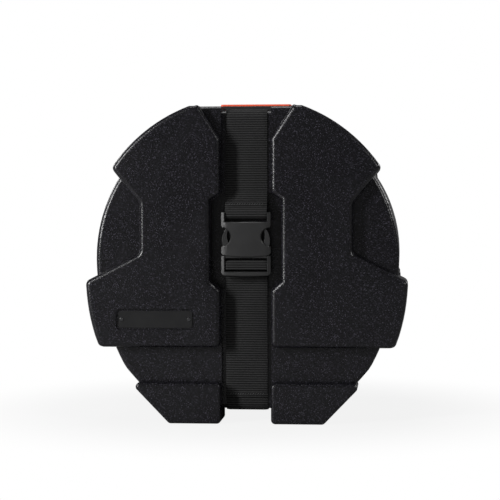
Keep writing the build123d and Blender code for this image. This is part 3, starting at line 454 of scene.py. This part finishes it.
rivet_finish = satin_black(
    "rivet_black",
    colour=(0.030, 0.030, 0.032, 1),
    roughness=(0.18, 0.26),
    speckle=3000,
    depth=0.00002,
)
plate_rivets = welded_copy("name_plate_rivets", "plate_rivet_pair", rivet_finish)
stands_for(plate_rivets, "name_plate_rivets", "lid")


# Webbing: one black polypropylene band, 50 mm wide and woven with a rib across it.
# It is sewn round the socket's bar, runs over the top, down the back, where it is riveted,
# and under the case to the front, where a loop and a loose tail pass the plug's bars.
WEB_HALF = 0.0248
WEB_HALF_THICK = 0.0009
WEB_RIB = 0.0028
WEB_RIB_DEPTH = 0.00022
WEB_STEP = WEB_RIB / 4
WEB_ACROSS = 14
WEB_YARN = 0.00115
WEB_YARN_SHARE = 0.35
WEB_FUZZ_SHARE = 2.6
WEB_SHADE = (0.4, 2.2)
WEB_RELIEF = 0.7
WEB_CREASE = math.radians(60)
WANDER_SCALE = 18
WANDER_ROW = 3.1
SELVEDGE_FROM = 0.85
SELVEDGE_RIB = 0.4
SELVEDGE_END = 0.999
SELVEDGE_THICK = 0.45
SELVEDGE_SPREAD = 0.0002
# Nearly black painted shade for the low places of the weave; the rib tops keep the webbing's own black.
WEB_VALLEY_SHADE_BLACK = (0.0003, 0.0003, 0.0003, 1)
WEB_RIB_BLACK = (0.0320, 0.0320, 0.0325, 1)

CHANNEL_WEB_Y = 0.1290
TOP_WEB_Z = 0.3730
UNDER_WEB_Z = 0.0150
BAND_SPLIT_Z = 0.0300
PLUG_WEB_Z = 0.1931
TAIL_WEB_Y = -0.1309
TAIL_END_Z = 0.0310
TAIL_WANDER = 0.0004

FOLD_OUTER_Y = -0.13715
FOLD_INNER_Y = -0.13445
FOLD_END_Z = 0.26420
FOLD_SLOPE_Z = 0.25850
FOLD_LEAVE_Z = 0.26200
FACE_REACH_Z = 0.27700
BAR_OUTER_Y = -0.14055
BAR_OVER_Z = 0.25350
BAR_UNDER_Z = 0.24565
CROWN_RISE_END_Y = -0.05000
LOOP_INNER_Y = -0.13605
LOOP_OUTER_Y = -0.14115
LOOP_END_Z = 0.18400
LOOP_TOP_Z = 0.19415
BAR_BEND = 0.00265
SLOPE_BEND = 0.006
CORNER_BEND = 0.009
CROWN_BEND = 0.3
LOOP_BEND = 0.00225


def webbing_cloth():
    """Polypropylene webbing: ribs across and yarns along, read from the band's own map, with painted shade
    in the low places of the weave.
    """
    material, tree, shader = material_with(
        "black_webbing", {"Roughness": 0.62, "Specular IOR Level": 0.15, "Sheen Weight": 0.04}
    )
    place = add_node(tree, "ShaderNodeUVMap", {"uv_map": "band"})
    split = add_node(tree, "ShaderNodeSeparateXYZ")
    tree.links.new(place.outputs["UV"], split.inputs["Vector"])
    ribs = add_node(
        tree, "ShaderNodeMath", {"operation": "MULTIPLY"}, {1: 2 * math.pi / (WEB_RIB * 1000)}
    )
    tree.links.new(split.outputs["Y"], ribs.inputs[0])
    rib_wave = add_node(tree, "ShaderNodeMath", {"operation": "COSINE"})
    tree.links.new(ribs.outputs[0], rib_wave.inputs[0])
    yarns = add_node(
        tree, "ShaderNodeMath", {"operation": "MULTIPLY"}, {1: 2 * math.pi / (WEB_YARN * 1000)}
    )
    tree.links.new(split.outputs["X"], yarns.inputs[0])
    yarn_wave = add_node(tree, "ShaderNodeMath", {"operation": "COSINE"})
    tree.links.new(yarns.outputs[0], yarn_wave.inputs[0])
    fuzz = add_node(
        tree, "ShaderNodeTexNoise", sockets={"Scale": 0.5, "Detail": 5, "Roughness": 0.75}
    )
    tree.links.new(place.outputs["UV"], fuzz.inputs["Vector"])
    height = add_node(tree, "ShaderNodeMath", {"operation": "MULTIPLY_ADD"}, {1: WEB_YARN_SHARE})
    tree.links.new(yarn_wave.outputs[0], height.inputs[0])
    tree.links.new(rib_wave.outputs[0], height.inputs[2])
    rough_height = add_node(
        tree, "ShaderNodeMath", {"operation": "MULTIPLY_ADD"}, {1: WEB_FUZZ_SHARE}
    )
    tree.links.new(fuzz.outputs["Fac"], rough_height.inputs[0])
    tree.links.new(height.outputs[0], rough_height.inputs[2])
    # Painted shade: the colour darkens where the ribs and yarns lie low, and the fuzz adds random tone.
    colour = add_node(tree, "ShaderNodeMix", {"data_type": "RGBA"})
    colour.inputs[6].default_value = WEB_VALLEY_SHADE_BLACK
    colour.inputs[7].default_value = WEB_RIB_BLACK
    tree.links.new(remapped(tree, rough_height.outputs[0], WEB_SHADE), colour.inputs[0])
    tree.links.new(colour.outputs[2], shader.inputs["Base Color"])
    ribbed = bumped(tree, rough_height.outputs[0], WEB_RELIEF, WEB_RIB_DEPTH)
    tree.links.new(ribbed, shader.inputs["Normal"])
    return material


def band_path(corners, radii):
    """Evenly spaced (y, z) points and headings along straight runs joined by tangent arcs."""
    runs = []
    here = Vector(corners[0])
    for corner, after, radius in zip(corners[1:-1], corners[2:], radii):
        corner, after = Vector(corner), Vector(after)
        come = (corner - here).normalized()
        leave = (after - corner).normalized()
        turn = math.atan2(come.x * leave.y - come.y * leave.x, come.dot(leave))
        cut = radius * math.tan(abs(turn) / 2)
        start = corner - come * cut
        runs.append(("line", here, come, (start - here).length))
        runs.append(("arc", start, come, turn, radius))
        here = corner + leave * cut
    last = Vector(corners[-1])
    runs.append(("line", here, (last - here).normalized(), (last - here).length))
    lengths = [r[3] if r[0] == "line" else abs(r[3]) * r[4] for r in runs]
    total = sum(lengths)
    count = max(2, round(total / WEB_STEP))
    places = []
    index, passed = 0, 0
    for step in range(count + 1):
        along = total * step / count
        while index < len(runs) - 1 and along > passed + lengths[index]:
            passed += lengths[index]
            index += 1
        run, on = runs[index], along - passed
        heading = run[2]
        if run[0] == "line":
            places.append((run[1] + heading * on, heading, along))
            continue
        side = math.copysign(1, run[3])
        angle = side * on / run[4]
        normal = Vector((-heading.y, heading.x)) * side
        centre = run[1] + normal * run[4]
        turned = Vector(
            (
                heading.x * math.cos(angle) - heading.y * math.sin(angle),
                heading.x * math.sin(angle) + heading.y * math.cos(angle),
            )
        )
        out = Vector((turned.y, -turned.x)) * side
        places.append((centre + out * run[4], turned, along))
    return places


def faced_outwards(mesh):
    """The mesh with all its faces turned outwards and its shading smooth."""
    work = bmesh.new()
    work.from_mesh(mesh)
    bmesh.ops.recalc_face_normals(work, faces=work.faces[:])
    work.to_mesh(mesh)
    work.free()
    mesh.shade_smooth()
    return mesh


def woven_band(name, corners, radii, material, wander=0.0):
    """A ribbed band with rounded selvedges along a path, mapped in millimetres across and along."""
    places = band_path(corners, radii)
    section = []
    for step in range(WEB_ACROSS + 1):
        section.append((-WEB_HALF + 2 * WEB_HALF * step / WEB_ACROSS, 1))
    for step in range(WEB_ACROSS + 1):
        section.append((WEB_HALF - 2 * WEB_HALF * step / WEB_ACROSS, -1))
    mesh = bpy.data.meshes.new(name)
    verts, faces, marks = [], [], []
    size = len(section)
    for point, heading, along in places:
        rib = WEB_RIB_DEPTH * (0.5 - 0.5 * math.cos(2 * math.pi * along / WEB_RIB))
        sway = wander * noise.noise(Vector((along * WANDER_SCALE, WANDER_ROW, 0)))
        for across, face in section:
            edge = abs(across) / WEB_HALF
            selvedge = SELVEDGE_THICK if edge > SELVEDGE_END else 1
            rib_share = SELVEDGE_RIB if edge > SELVEDGE_FROM else 1
            lift = face * (WEB_HALF_THICK * selvedge - rib * rib_share)
            side = Vector((-heading.y, heading.x)) * lift
            spread = math.copysign(SELVEDGE_SPREAD, across) if edge > SELVEDGE_END else 0
            verts.append((across + spread + sway, point.x + side.x, point.y + side.y))
            marks.append((across * 1000, along * 1000))
    for row in range(len(places) - 1):
        for column in range(size):
            after = (column + 1) % size
            here, ahead = row * size, (row + 1) * size
            faces.append((here + column, here + after, ahead + after, ahead + column))
    last = (len(places) - 1) * size
    faces.append(tuple(range(size - 1, -1, -1)))
    faces.append(tuple(last + i for i in range(size)))
    mesh.from_pydata(verts, [], faces)
    layer = mesh.uv_layers.new(name="band")
    for loop in mesh.loops:
        layer.data[loop.index].uv = marks[loop.vertex_index]
    mesh.update()
    faced_outwards(mesh)
    mesh.set_sharp_from_angle(angle=WEB_CREASE)
    mesh.materials.append(material)
    return new_piece(name, mesh)


webbing = webbing_cloth()
long_band = woven_band(
    "webbing_round_the_case",
    [
        (FOLD_OUTER_Y, FOLD_END_Z),
        (FOLD_OUTER_Y, FOLD_SLOPE_Z),
        (BAR_OUTER_Y, BAR_OVER_Z),
        (BAR_OUTER_Y, BAR_UNDER_Z),
        (FOLD_INNER_Y, BAR_UNDER_Z),
        (FOLD_INNER_Y, FOLD_LEAVE_Z),
        (-CHANNEL_WEB_Y, FACE_REACH_Z),
        (-CHANNEL_WEB_Y, TOP_WEB_Z + CROWN_RISE),
        (CROWN_RISE_END_Y, TOP_WEB_Z),
        (CHANNEL_WEB_Y, TOP_WEB_Z),
        (CHANNEL_WEB_Y, UNDER_WEB_Z),
        (-CHANNEL_WEB_Y, UNDER_WEB_Z),
        (-CHANNEL_WEB_Y, BAND_SPLIT_Z),
    ],
    [BAR_BEND] * 4 + [SLOPE_BEND] * 2 + [CORNER_BEND, CROWN_BEND] + [CORNER_BEND] * 3,
    webbing,
)
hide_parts("strap_upper", "strap_rear")
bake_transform(long_band, "base", "lid", start=(0, 0.120, 0.2), end=(0, -0.122, 0.2))

front_band = woven_band(
    "webbing_up_the_front",
    [(-CHANNEL_WEB_Y, BAND_SPLIT_Z), (-CHANNEL_WEB_Y, PLUG_WEB_Z)],
    [],
    webbing,
)
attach(front_band, "lid")
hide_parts("strap_lower")
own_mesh(front_band)

tail_band = woven_band(
    "webbing_loose_tail",
    [(TAIL_WEB_Y, TAIL_END_Z), (TAIL_WEB_Y, PLUG_WEB_Z)],
    [],
    webbing,
    wander=TAIL_WANDER,
)
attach(tail_band, "lid")
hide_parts("strap_tail")
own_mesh(tail_band)

bar_band = woven_band(
    "webbing_over_the_plug_bar",
    [
        (LOOP_INNER_Y, LOOP_END_Z),
        (LOOP_INNER_Y, LOOP_TOP_Z),
        (LOOP_OUTER_Y, LOOP_TOP_Z),
        (LOOP_OUTER_Y, LOOP_END_Z),
    ],
    [LOOP_BEND, LOOP_BEND],
    webbing,
)
stands_for(bar_band, "strap_loop", "plug")


# Stitching: the webbing's fold is sewn down with a zigzag row of heavy black thread,
# and the tail's end is hemmed with another, so that neither can pull out or fray.
THREAD_RADIUS = 0.00032
THREAD_GREY = (0.060, 0.060, 0.062, 1)
THREAD_RELIEF = 0.4
THREAD_TWIST_DEPTH = 0.0001
THREAD_SUNK = 0.6
STITCH_PITCH = 0.0030
STITCH_LENGTH = 0.0026
STITCH_DIP = 1.6
STITCH_COUNT = 14
STITCH_TURN = (math.radians(90), 0, 0)


def thread_finish():
    """Bonded polyester thread with a fine twist."""
    material, tree, shader = material_with(
        "black_thread", {"Base Color": THREAD_GREY, "Roughness": 0.45}
    )
    place = add_node(tree, "ShaderNodeTexCoord")
    twist = add_node(tree, "ShaderNodeTexWave", {"bands_direction": "DIAGONAL"}, {"Scale": 900})
    tree.links.new(place.outputs["Object"], twist.inputs["Vector"])
    twisted = bumped(tree, twist.outputs["Fac"], THREAD_RELIEF, THREAD_TWIST_DEPTH)
    tree.links.new(twisted, shader.inputs["Normal"])
    return material


def stitch_mesh(length, radius):
    """One stitch: a short thread whose ends dip into the cloth."""
    rings, sides = 6, 6
    mesh = bpy.data.meshes.new("stitch")
    verts, faces = [], []
    for ring in range(rings):
        share = ring / (rings - 1)
        dip = -STITCH_DIP * radius * (2 * share - 1) ** 4
        for side in range(sides):
            angle = 2 * math.pi * side / sides
            verts.append(
                ((share - 0.5) * length, radius * math.cos(angle), dip + radius * math.sin(angle))
            )
    for ring in range(rings - 1):
        for side in range(sides):
            after = (side + 1) % sides
            here, ahead = ring * sides, (ring + 1) * sides
            faces.append((here + side, here + after, ahead + after, ahead + side))
    faces.append(tuple(range(sides - 1, -1, -1)))
    faces.append(tuple((rings - 1) * sides + side for side in range(sides)))
    mesh.from_pydata(verts, [], faces)
    return faced_outwards(mesh)


def repeat_tree(name, template):
    """Geometry nodes that set a template on every point, turned by an input and its own turn."""
    tree = bpy.data.node_groups.new(name, "GeometryNodeTree")
    tree.interface.new_socket("Places", in_out="INPUT", socket_type="NodeSocketGeometry")
    turn_input = tree.interface.new_socket("Turn", in_out="INPUT", socket_type="NodeSocketVector")
    finish_input = tree.interface.new_socket(
        "Finish", in_out="INPUT", socket_type="NodeSocketMaterial"
    )
    tree.interface.new_socket("Pieces", in_out="OUTPUT", socket_type="NodeSocketGeometry")
    entry = tree.nodes.new("NodeGroupInput")
    leave = tree.nodes.new("NodeGroupOutput")
    shape = add_node(
        tree, "GeometryNodeObjectInfo", sockets={"Object": template, "As Instance": True}
    )
    own_turn = add_node(
        tree, "GeometryNodeInputNamedAttribute", {"data_type": "FLOAT_VECTOR"}, {"Name": "turn"}
    )
    first = tree.nodes.new("FunctionNodeEulerToRotation")
    second = tree.nodes.new("FunctionNodeEulerToRotation")
    both = tree.nodes.new("FunctionNodeRotateRotation")
    both.rotation_space = "LOCAL"
    place = tree.nodes.new("GeometryNodeInstanceOnPoints")
    real = tree.nodes.new("GeometryNodeRealizeInstances")
    finish = tree.nodes.new("GeometryNodeSetMaterial")
    link = tree.links.new
    link(entry.outputs["Places"], place.inputs["Points"])
    link(shape.outputs["Geometry"], place.inputs["Instance"])
    link(entry.outputs["Turn"], first.inputs[0])
    link(own_turn.outputs["Attribute"], second.inputs[0])
    link(first.outputs[0], both.inputs["Rotation"])
    link(second.outputs[0], both.inputs["Rotate By"])
    link(both.outputs[0], place.inputs["Rotation"])
    link(place.outputs["Instances"], real.inputs["Geometry"])
    link(real.outputs["Geometry"], finish.inputs["Geometry"])
    link(entry.outputs["Finish"], finish.inputs["Material"])
    link(finish.outputs["Geometry"], leave.inputs["Pieces"])
    return tree, turn_input.identifier, finish_input.identifier


def repeated(name, template_mesh, places, turn, material, own_turns):
    """One mesh of a template repeated at these places, each with a turn of its own."""
    template = new_piece(name + "_template", template_mesh)
    points = bpy.data.meshes.new(name)
    points.from_pydata([tuple(p) for p in places], [], [])
    turns = points.attributes.new("turn", "FLOAT_VECTOR", "POINT")
    for index, value in enumerate(own_turns):
        turns.data[index].vector = value
    piece = new_piece(name, points)
    tree, turn_key, finish_key = repeat_tree(name + "_repeat", template)
    modifier = piece.modifiers.new("repeat", "NODES")
    modifier.node_group = tree
    modifier[turn_key] = turn
    modifier[finish_key] = material
    settled(piece)
    bpy.data.objects.remove(template)
    bpy.data.node_groups.remove(tree)
    for attribute in [a.name for a in piece.data.attributes if a.name == "turn"]:
        piece.data.attributes.remove(piece.data.attributes[attribute])
    return piece


def stitch_row(front, height):
    """Places for one row of stitches across the webbing, half sunk in its face."""
    depth = front - THREAD_RADIUS * THREAD_SUNK
    middle = (STITCH_COUNT - 1) / 2
    return [((i - middle) * STITCH_PITCH, depth, height) for i in range(STITCH_COUNT)]


thread = thread_finish()
FOLD_FRONT_Y = -0.13805
FOLD_STITCH_Z = 0.2622
FOLD_ZIGZAG = ((0, 0, math.radians(52)), (0, 0, math.radians(42)))
fold_stitches = repeated(
    "fold_stitching",
    stitch_mesh(STITCH_LENGTH, THREAD_RADIUS),
    stitch_row(FOLD_FRONT_Y, FOLD_STITCH_Z),
    STITCH_TURN,
    thread,
    [FOLD_ZIGZAG[i % 2] for i in range(STITCH_COUNT)],
)
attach(fold_stitches, "lid")

TAIL_FRONT_Y = -0.1318
TAIL_STITCH_Z = 0.0345
TAIL_SLANT = (0, 0, math.radians(50))
tail_stitches = repeated(
    "tail_stitching",
    stitch_mesh(STITCH_LENGTH, THREAD_RADIUS),
    stitch_row(TAIL_FRONT_Y, TAIL_STITCH_Z),
    STITCH_TURN,
    thread,
    [TAIL_SLANT] * STITCH_COUNT,
)
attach(tail_stitches, "lid")


# Rear rivets: two large-headed black rivets with washers inside, through the webbing and the back.
# They stay with the base, and the washers are zinc-plated steel.
ZINC_GREY = (0.56, 0.56, 0.58, 1)
ZINC_ROUGHNESS = (0.25, 0.45)
ZINC_RELIEF = 0.2
ZINC_GRAIN_DEPTH = 0.00005

webbing_rivets = welded_copy("strap_rivets", "webbing_rivet_pair", rivet_finish)
stands_for(webbing_rivets, "strap_rivets", "base")


def zinc_plate(name):
    """Bright zinc plating with a faint brushed grain."""
    material, tree, shader = material_with(name, {"Base Color": ZINC_GREY, "Metallic": 1.0})
    place = add_node(tree, "ShaderNodeTexCoord")
    grain = add_node(tree, "ShaderNodeTexNoise", sockets={"Scale": 900, "Detail": 4})
    tree.links.new(place.outputs["Object"], grain.inputs["Vector"])
    gloss = remapped(tree, grain.outputs["Fac"], (0, 1), ZINC_ROUGHNESS)
    tree.links.new(gloss, shader.inputs["Roughness"])
    brushed = bumped(tree, grain.outputs["Fac"], ZINC_RELIEF, ZINC_GRAIN_DEPTH)
    tree.links.new(brushed, shader.inputs["Normal"])
    return material


zinc = zinc_plate("zinc_plated_steel")
washers = welded_copy("strap_washers", "webbing_rivet_washers", zinc)
stands_for(washers, "strap_washers", "base")


# Side release buckle: satin black acetal. The socket is sewn into the webbing's fold,
# and the plug's two sprung arms show in the socket's side windows. Both faces are bowed across.
BUCKLE_GREY = (0.0190, 0.0190, 0.0194, 1)
BUCKLE_EDGE = 0.00035
ARM_EDGE = 0.0011

BUCKLE_FACE_Y = -0.1445
BUCKLE_SKIN = 0.0022
PANEL_BOX = ((-0.0137, -0.1446, 0.190), (0.0137, -0.1437, 0.260))
BUCKLE_HALF = 0.0295
FACE_BOW = 0.0011
RAIL_INNER = 0.0255
RAIL_FALL = 0.50
FACE_CUTS = [BUCKLE_HALF * share / 9 for share in range(-8, 9)]


def face_bowed(point):
    """The point with the buckle's face bowed across and its rails sloped back outwards."""
    depth = share_between(point.y, BUCKLE_FACE_Y + BUCKLE_SKIN, BUCKLE_FACE_Y)
    across = abs(point.x)
    back = FACE_BOW * (across / BUCKLE_HALF) ** 2 + max(0, across - RAIL_INNER) * RAIL_FALL
    return (point.x, point.y + back * depth, point.z)


acetal = satin_black(
    "satin_acetal", colour=BUCKLE_GREY, roughness=(0.34, 0.42), speckle=1800, depth=0.00004
)
socket = welded_copy(
    "buckle_socket",
    "buckle_socket_moulding",
    acetal,
    soften=BUCKLE_EDGE,
    reshape=face_bowed,
    cuts=FACE_CUTS,
    filled=PANEL_BOX,
)
stands_for(socket, "buckle_socket", "lid")
plug = welded_copy(
    "buckle_plug",
    "buckle_plug_moulding",
    acetal,
    soften=BUCKLE_EDGE,
    reshape=face_bowed,
    cuts=FACE_CUTS,
)
stands_for(plug, "buckle_plug", "plug")
for side in ("left", "right"):
    arm = welded_copy(
        f"buckle_arm_{side}", f"buckle_arm_moulding_{side}", acetal, soften=ARM_EDGE
    )
    stands_for(arm, f"buckle_arm_{side}", f"arm_{side}")


# Carry handle: a black moulded bail that folds flat behind the top edge, with an orange-red
# rubber pad on its grip. It swings up on two pins in brackets screwed to the base's crown.
GRIP_BOTTOM_Z = 0.3780
GRIP_TOP_Z = 0.3876
GRIP_LOWER = 0.0019
GRIP_NARROW = 0.054
GRIP_FADE = (0.042, 0.024)
BAIL_EDGE = 0.0008
BRACKET_EDGE = 0.0003
PAD_ORANGE_DEEP = (0.80, 0.085, 0.030, 1)
PAD_ORANGE = (0.95, 0.130, 0.050, 1)
PAD_RELIEF = 0.4
PAD_TOOTH_DEPTH = 0.0001


def grip_slimmed(point):
    """The point of the bail or pad, with the grip a little lower and narrower than its legs."""
    share = share_between(point.y, *GRIP_FADE)
    rise = min(1, (point.z - GRIP_BOTTOM_Z) / (GRIP_TOP_Z - GRIP_BOTTOM_Z))
    return (point.x * (1 - GRIP_NARROW * share), point.y, point.z - GRIP_LOWER * rise * share)


bail_finish = satin_black(
    "bail_black",
    colour=(0.014, 0.014, 0.015, 1),
    roughness=(0.36, 0.46),
    speckle=1500,
    depth=0.00008,
)
bail = welded_copy(
    "handle_bail", "carry_handle_bail", bail_finish, soften=BAIL_EDGE, reshape=grip_slimmed
)
stands_for(bail, "handle_bail", "handle")


def grip_rubber():
    """Orange-red rubber with a fine tooth."""
    material, tree, shader = material_with("orange_red_rubber", {"Roughness": 0.55})
    place = add_node(tree, "ShaderNodeTexCoord")
    tooth = add_node(tree, "ShaderNodeTexNoise", sockets={"Scale": 900, "Detail": 3})
    tree.links.new(place.outputs["Object"], tooth.inputs["Vector"])
    colour = add_node(tree, "ShaderNodeMix", {"data_type": "RGBA"})
    colour.inputs[6].default_value = PAD_ORANGE_DEEP
    colour.inputs[7].default_value = PAD_ORANGE
    tree.links.new(tooth.outputs["Fac"], colour.inputs[0])
    tree.links.new(colour.outputs[2], shader.inputs["Base Color"])
    toothed = bumped(tree, tooth.outputs["Fac"], PAD_RELIEF, PAD_TOOTH_DEPTH)
    tree.links.new(toothed, shader.inputs["Normal"])
    return material


grip_pad = welded_copy(
    "handle_grip_pad", "carry_handle_grip_pad", grip_rubber(), reshape=grip_slimmed
)
stands_for(grip_pad, "handle_grip_pad", "handle")

powder_coat = satin_black(
    "bracket_powder_coat",
    colour=(0.018, 0.018, 0.019, 1),
    roughness=(0.42, 0.52),
    speckle=1400,
    depth=0.00012,
)
for side in ("left", "right"):
    bracket = welded_copy(
        f"handle_bracket_{side}",
        f"handle_bracket_pressing_{side}",
        powder_coat,
        soften=BRACKET_EDGE,
    )
    stands_for(bracket, f"handle_bracket_{side}", "base")
for node, name in (
    ("handle_pins", "handle_pivot_pins"),
    ("handle_screws", "bracket_screws"),
    ("handle_backing_plates", "bracket_backing_plates"),
    ("handle_nuts", "bracket_nuts"),
):
    hardware = welded_copy(node, name, zinc)
    stands_for(hardware, node, "base")


# Studio: a plain pale floor that fades to white, soft lamps and the camera, which stands
# a little to the right of the case and a little above its middle.
CAMERA_PLACE = Vector((0.1850, -2.1430, 0.2735))
CAMERA_YAW = math.radians(5.140)
CAMERA_PITCH = math.radians(1.884)
CAMERA_ROLL = math.radians(-0.141)
CAMERA_LENS = 121.6
CAMERA_SENSOR = 36
FLOOR_HALF = 6
FLOOR_PAINT = (0.42, 0.42, 0.42, 1)
FLOOR_FADE = (0.20, 0.45)
FLOOR_WHITE = (0.87, 1)
WORLD_LEVEL = 0.06
WORLD_GLOSSY = 0.14


def pale_floor():
    """A pale floor that keeps the object's shadow and turns to plain white further out."""
    material = bpy.data.materials.new("pale_floor")
    material.use_nodes = True
    tree = material.node_tree
    tree.nodes.remove(tree.nodes["Principled BSDF"])
    leave = tree.nodes["Material Output"]
    paint = add_node(tree, "ShaderNodeBsdfDiffuse", sockets={"Color": FLOOR_PAINT})
    white = add_node(
        tree, "ShaderNodeEmission", sockets={"Color": (1, 1, 1, 1), "Strength": 1}
    )
    place = add_node(tree, "ShaderNodeTexCoord")
    away = add_node(tree, "ShaderNodeVectorMath", {"operation": "LENGTH"})
    tree.links.new(place.outputs["Object"], away.inputs[0])
    fade = add_node(
        tree,
        "ShaderNodeMapRange",
        {"interpolation_type": "SMOOTHSTEP"},
        {
            "From Min": FLOOR_FADE[0],
            "From Max": FLOOR_FADE[1],
            "To Min": FLOOR_WHITE[0],
            "To Max": FLOOR_WHITE[1],
        },
    )
    tree.links.new(away.outputs["Value"], fade.inputs["Value"])
    seen = add_node(tree, "ShaderNodeLightPath")
    share = add_node(tree, "ShaderNodeMath", {"operation": "MULTIPLY"})
    tree.links.new(fade.outputs["Result"], share.inputs[0])
    tree.links.new(seen.outputs["Is Camera Ray"], share.inputs[1])
    mix = add_node(tree, "ShaderNodeMixShader")
    tree.links.new(share.outputs[0], mix.inputs["Fac"])
    tree.links.new(paint.outputs[0], mix.inputs[1])
    tree.links.new(white.outputs[0], mix.inputs[2])
    tree.links.new(mix.outputs[0], leave.inputs["Surface"])
    return material


floor_mesh = bpy.data.meshes.new("studio_floor")
corners = [(x * FLOOR_HALF, y * FLOOR_HALF, 0) for x, y in ((-1, -1), (1, -1), (1, 1), (-1, 1))]
floor_mesh.from_pydata(corners, [], [(0, 1, 2, 3)])
floor = new_piece("studio_floor", floor_mesh)
floor_mesh.materials.append(pale_floor())

world = bpy.data.worlds.new("studio")
bpy.context.scene.world = world
world.use_nodes = True
world_tree = world.node_tree
background = world_tree.nodes["Background"]
background.inputs["Color"].default_value = (1, 1, 1, 1)
rays = add_node(world_tree, "ShaderNodeLightPath")
seen_directly = add_node(world_tree, "ShaderNodeMath", {"operation": "MAXIMUM"})
world_tree.links.new(rays.outputs["Is Camera Ray"], seen_directly.inputs[0])
world_tree.links.new(rays.outputs["Is Transmission Ray"], seen_directly.inputs[1])
glossy_share = add_node(
    world_tree, "ShaderNodeMath", {"operation": "MULTIPLY"}, {1: WORLD_GLOSSY}
)
world_tree.links.new(rays.outputs["Is Glossy Ray"], glossy_share.inputs[0])
strongest = add_node(world_tree, "ShaderNodeMath", {"operation": "MAXIMUM"})
world_tree.links.new(seen_directly.outputs[0], strongest.inputs[0])
world_tree.links.new(glossy_share.outputs[0], strongest.inputs[1])
level = add_node(world_tree, "ShaderNodeMath", {"operation": "MAXIMUM"}, {1: WORLD_LEVEL})
world_tree.links.new(strongest.outputs[0], level.inputs[0])
world_tree.links.new(level.outputs[0], background.inputs["Strength"])


def lamp(name, place, aim, size, power, height=None):
    """A soft lamp, square or taller than wide, at a place and turned to what it lights."""
    data = bpy.data.lights.new(name, "AREA")
    data.shape = "RECTANGLE"
    data.size = size
    data.size_y = height or size
    data.energy = power
    light = bpy.data.objects.new(name, data)
    bpy.context.scene.collection.objects.link(light)
    light.location = place
    light.rotation_euler = (Vector(aim) - Vector(place)).to_track_quat("-Z", "Y").to_euler()


CASE_MIDDLE = (0, -0.05, 0.2)
lamp("key_left", (-1.78, -1.64, 0.92), CASE_MIDDLE, 0.30, 58, height=1.10)
lamp("fill_right", (1.70, -1.10, 1.10), CASE_MIDDLE, 0.50, 8)
lamp("top", (-0.2, 0.1, 2.2), CASE_MIDDLE, 0.70, 10)
lamp("back_left", (-1.5, 0.9, 0.9), CASE_MIDDLE, 0.5, 9)
lamp("back_right", (1.5, 0.9, 0.9), CASE_MIDDLE, 0.5, 8)

camera_data = bpy.data.cameras.new("photograph")
camera_data.lens = CAMERA_LENS
camera_data.sensor_width = CAMERA_SENSOR
camera = bpy.data.objects.new("photograph", camera_data)
bpy.context.scene.collection.objects.link(camera)
looking = Vector(
    (
        -math.sin(CAMERA_YAW) * math.cos(CAMERA_PITCH),
        math.cos(CAMERA_YAW) * math.cos(CAMERA_PITCH),
        -math.sin(CAMERA_PITCH),
    )
)
level_turn = looking.to_track_quat("-Z", "Y")
camera.location = CAMERA_PLACE
camera.rotation_euler = (level_turn @ Quaternion((0, 0, 1), CAMERA_ROLL)).to_euler()
bpy.context.scene.camera = camera
bpy.context.scene.view_settings.view_transform = "Standard"
